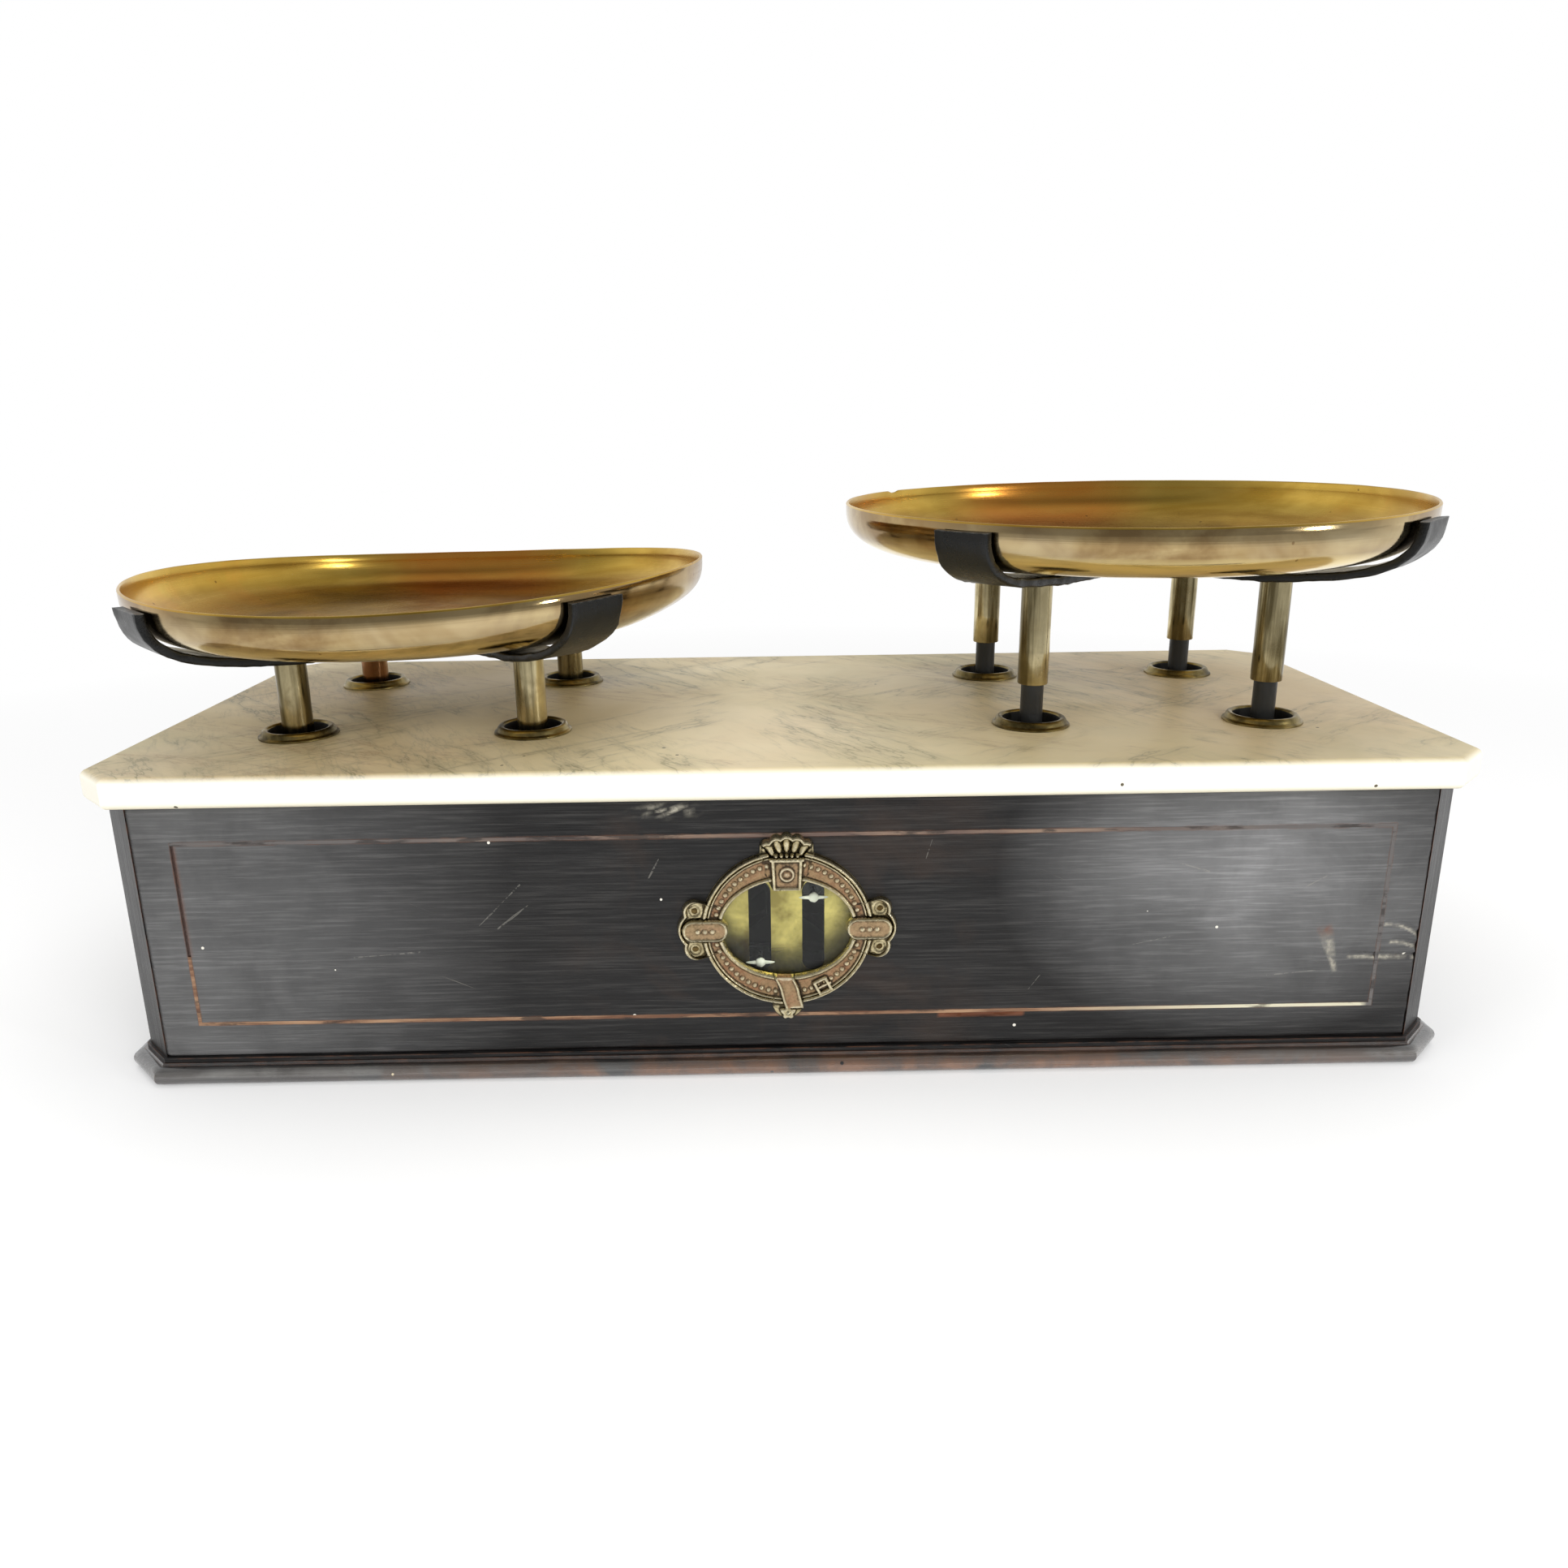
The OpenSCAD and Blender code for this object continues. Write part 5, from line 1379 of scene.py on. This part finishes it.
def buckle(x, y, height, brown):
    """Adds the buckle, square to the belt, with its prong."""
    tilt = BUCKLE_TURN + math.pi / 2
    dx, dy = x - BUCKLE_OVAL[0] * math.cos(BUCKLE_TURN), y - BUCKLE_OVAL[1] * math.sin(BUCKLE_TURN)
    u, v = dx * math.cos(tilt) + dy * math.sin(tilt), dy * math.cos(tilt) - dx * math.sin(tilt)
    bow = oblong_gap(u, v, 3.4, 3.7, 0.7) + 0.7
    on = plateau(np.abs(bow) - 0.75, 0.3)
    height = np.maximum(height, (3.0 + 0.6 * bar(bow, 0.75)) * on)
    prong = oblong_gap(u - 0.6, v, 3.6, 0.5, 0.4)
    return np.maximum(height, 3.3 * plateau(prong, 0.3)), brown * (1 - on)

# %% The surround
AROUND, ACROSS = 900, 76


def surround_mesh():
    a = (np.arange(AROUND) + 0.5) / AROUND * math.tau
    inner, outer = opening_reach(a), surround_reach(a)
    share = np.linspace(0, 1, ACROSS)[:, None]
    far = inner * (1 - share) + outer * share
    edge = outer - far
    x, y = far * np.cos(a), far * np.sin(a)
    height, brown = shield_and_boss(x, y, *cartouches(x, y, *belt_and_ears(x, y, edge)))
    height, brown = buckle(x, y, *belt_end(x, y, *leafy_crest(x, y, edge, height, brown)))
    height = height * (0.45 + 0.55 * fade_in(edge, 0, 0.9)) * (0.75 + 0.25 * fade_in(far - inner, 0, 0.5))
    spots = np.stack([x, y, 0 * x], 2)
    height += 0.10 * rough_of(spots, 0.9, 4) + 0.12 * rough_of(spots, 2.6, 6)
    mean = height.copy()
    for _ in range(10):
        mean = (mean + np.roll(mean, 1, 1) + np.roll(mean, -1, 1)) / 3
        mean[1:-1] = (mean[1:-1] + mean[:-2] + mean[2:]) / 3
    hollow = np.clip((mean - height) / 0.45, -1, 1)
    x, y, brown, hollow = (np.pad(rows, ((1, 1), (0, 0)), "edge") for rows in (x, y, brown, hollow))
    height = np.pad(height, ((1, 1), (0, 0)))
    net = np.stack([x * MM, FRONT_Y - height * MM, WINDOW_Z + y * MM], 2)
    mesh = net_mesh("window_surround", [net], closed=True, sharp=70)
    paint(mesh, {"lacquer": brown.ravel(), "hollow": hollow.ravel()})
    return mesh


add_piece("window_surround", surround_mesh(), (CAST_BRASS,), "case", "aged_brass", "window_bezel")

# %% Screws in the ears
DOME = [(0, 2.1), (0.6, 2.05), (1.2, 1.9), (1.6, 1.65), (1.8, 1.35), (1.8, 1.1), (1.2, 1.0), (1.2, 0.2),
        (0, 0.2)]
screws = turned_copies("surround_screws", DOME, [(x * MM, FRONT_Y, WINDOW_Z + y * MM) for x, y in EAR_SCREWS],
                       SCREW_BRASS, axis=(0, 1, 0), seed=5, sides=36)
add_piece("surround_screws", screws, (SCREW_BRASS,), "case", "aged_brass", "bezel_screws")

# %% [markdown]
# Stage: a white floor that fades into a white background, a soft lamp in front as from a
# shop window, and weaker ones above, at the left and low in front. A small one at the right
# is the only lamp that metal mirrors, for the sparks on the brass. The floor glows a little
# for the camera and for reflections, so that it stays white around the soft shadow. Metal
# shows the white background at its sides, and the dimmer room behind the camera in front.

# %% Floor
def light_path(tree):
    """What kind of ray is looking, as wires by name, such as Is Camera Ray."""
    return {out.name: Wire(tree, out) for out in node(tree, "ShaderNodeLightPath").outputs}


def make_floor_white():
    made = bpy.data.materials.new("floor_white")
    tree = empty_tree(made)
    seen = light_path(tree)
    for_sight = maths("MAXIMUM", seen["Is Camera Ray"],
                      maths("MAXIMUM", seen["Is Glossy Ray"], seen["Is Transmission Ray"]))
    spot = wire(tree, "ShaderNodeTexCoord", output="Object")
    away = vectors("LENGTH", spot).ramp(0.55, 1.15)
    room = seen["Is Glossy Ray"].ramp(0, 1, 1.0, spot.parts()[1].ramp(-0.6, 0.3, 0.45, 1.0))
    shine = for_sight * room
    white_paint = wire(tree, "ShaderNodeBsdfDiffuse", {"Color": (0.76, 0.76, 0.76, 1)})
    lift = wire(tree, "ShaderNodeEmission", {"Strength": shine * 0.22})
    glow = wire(tree, "ShaderNodeEmission", {"Strength": shine})
    near = wire(tree, "ShaderNodeAddShader", {0: white_paint, 1: lift})
    both = wire(tree, "ShaderNodeMixShader", {0: away, 1: near, 2: glow})
    node(tree, "ShaderNodeOutputMaterial", {"Surface": both})
    return made


FLOOR_RADIUS, FLOOR_SIDES, FLOOR_DROP = 9.0, 96, 0.0002
turns = [math.tau * i / FLOOR_SIDES for i in range(FLOOR_SIDES)]
floor_mesh = bpy.data.meshes.new("floor")
rim = [(FLOOR_RADIUS * math.cos(a), FLOOR_RADIUS * math.sin(a), -FLOOR_DROP) for a in turns]
floor_mesh.from_pydata(rim, [], [list(range(FLOOR_SIDES))])
floor_mesh.materials.append(make_floor_white())
link_object("floor", floor_mesh)

# %% World
WORLD_LIGHT, ROOM_DIM = 0.66, 0.3
world = bpy.data.worlds.new("studio")
sky_tree = empty_tree(world)
paths = light_path(sky_tree)
_, ahead, above = wire(sky_tree, "ShaderNodeTexCoord", output="Generated").parts()
room = ahead.ramp(-0.5, 0.2, ROOM_DIM, 1.0) * above.ramp(0.4, 0.9, 1.0, 0.5)
strength = paths["Is Glossy Ray"].ramp(0, 1, WORLD_LIGHT, room)
white = maths("MAXIMUM", paths["Is Camera Ray"], paths["Is Transmission Ray"])
strength = white.ramp(0, 1, strength, 1.0)
sky = wire(sky_tree, "ShaderNodeBackground", {"Color": (1, 1, 1, 1), "Strength": strength})
node(sky_tree, "ShaderNodeOutputWorld", {"Surface": sky})
bpy.context.scene.world = world

# %% Lamps
def add_lamp(name, at, aim, size, watts, mirrored=False):
    """A soft rectangular lamp of size (width, height) that faces aim, and shows in gloss if mirrored."""
    light = bpy.data.lights.new(name, "AREA")
    light.shape = "RECTANGLE"
    light.size, light.size_y = size
    light.energy = watts
    lamp = link_object(name, light)
    lamp.location = at
    lamp.rotation_euler = (Vector(aim) - Vector(at)).to_track_quat("-Z", "Y").to_euler()
    lamp.visible_glossy = mirrored


add_lamp("window_light", (0.75, -1.45, 0.85), (0.05, 0, 0.1), (0.9, 0.7), 11)
add_lamp("overhead", (0.0, 0.1, 1.7), (0, 0, 0.1), (1.4, 0.9), 8)
add_lamp("left_fill", (-1.2, -0.9, 0.55), (0, 0, 0.1), (0.5, 0.9), 5)
add_lamp("right_spark", (1.3, -0.9, 0.5), (0, 0, 0.1), (0.14, 0.14), 3, mirrored=True)
add_lamp("low_front", (-0.1, -1.7, 0.3), (0, 0, 0.08), (0.9, 0.35), 5)
print("lamps:", len(bpy.data.lights))
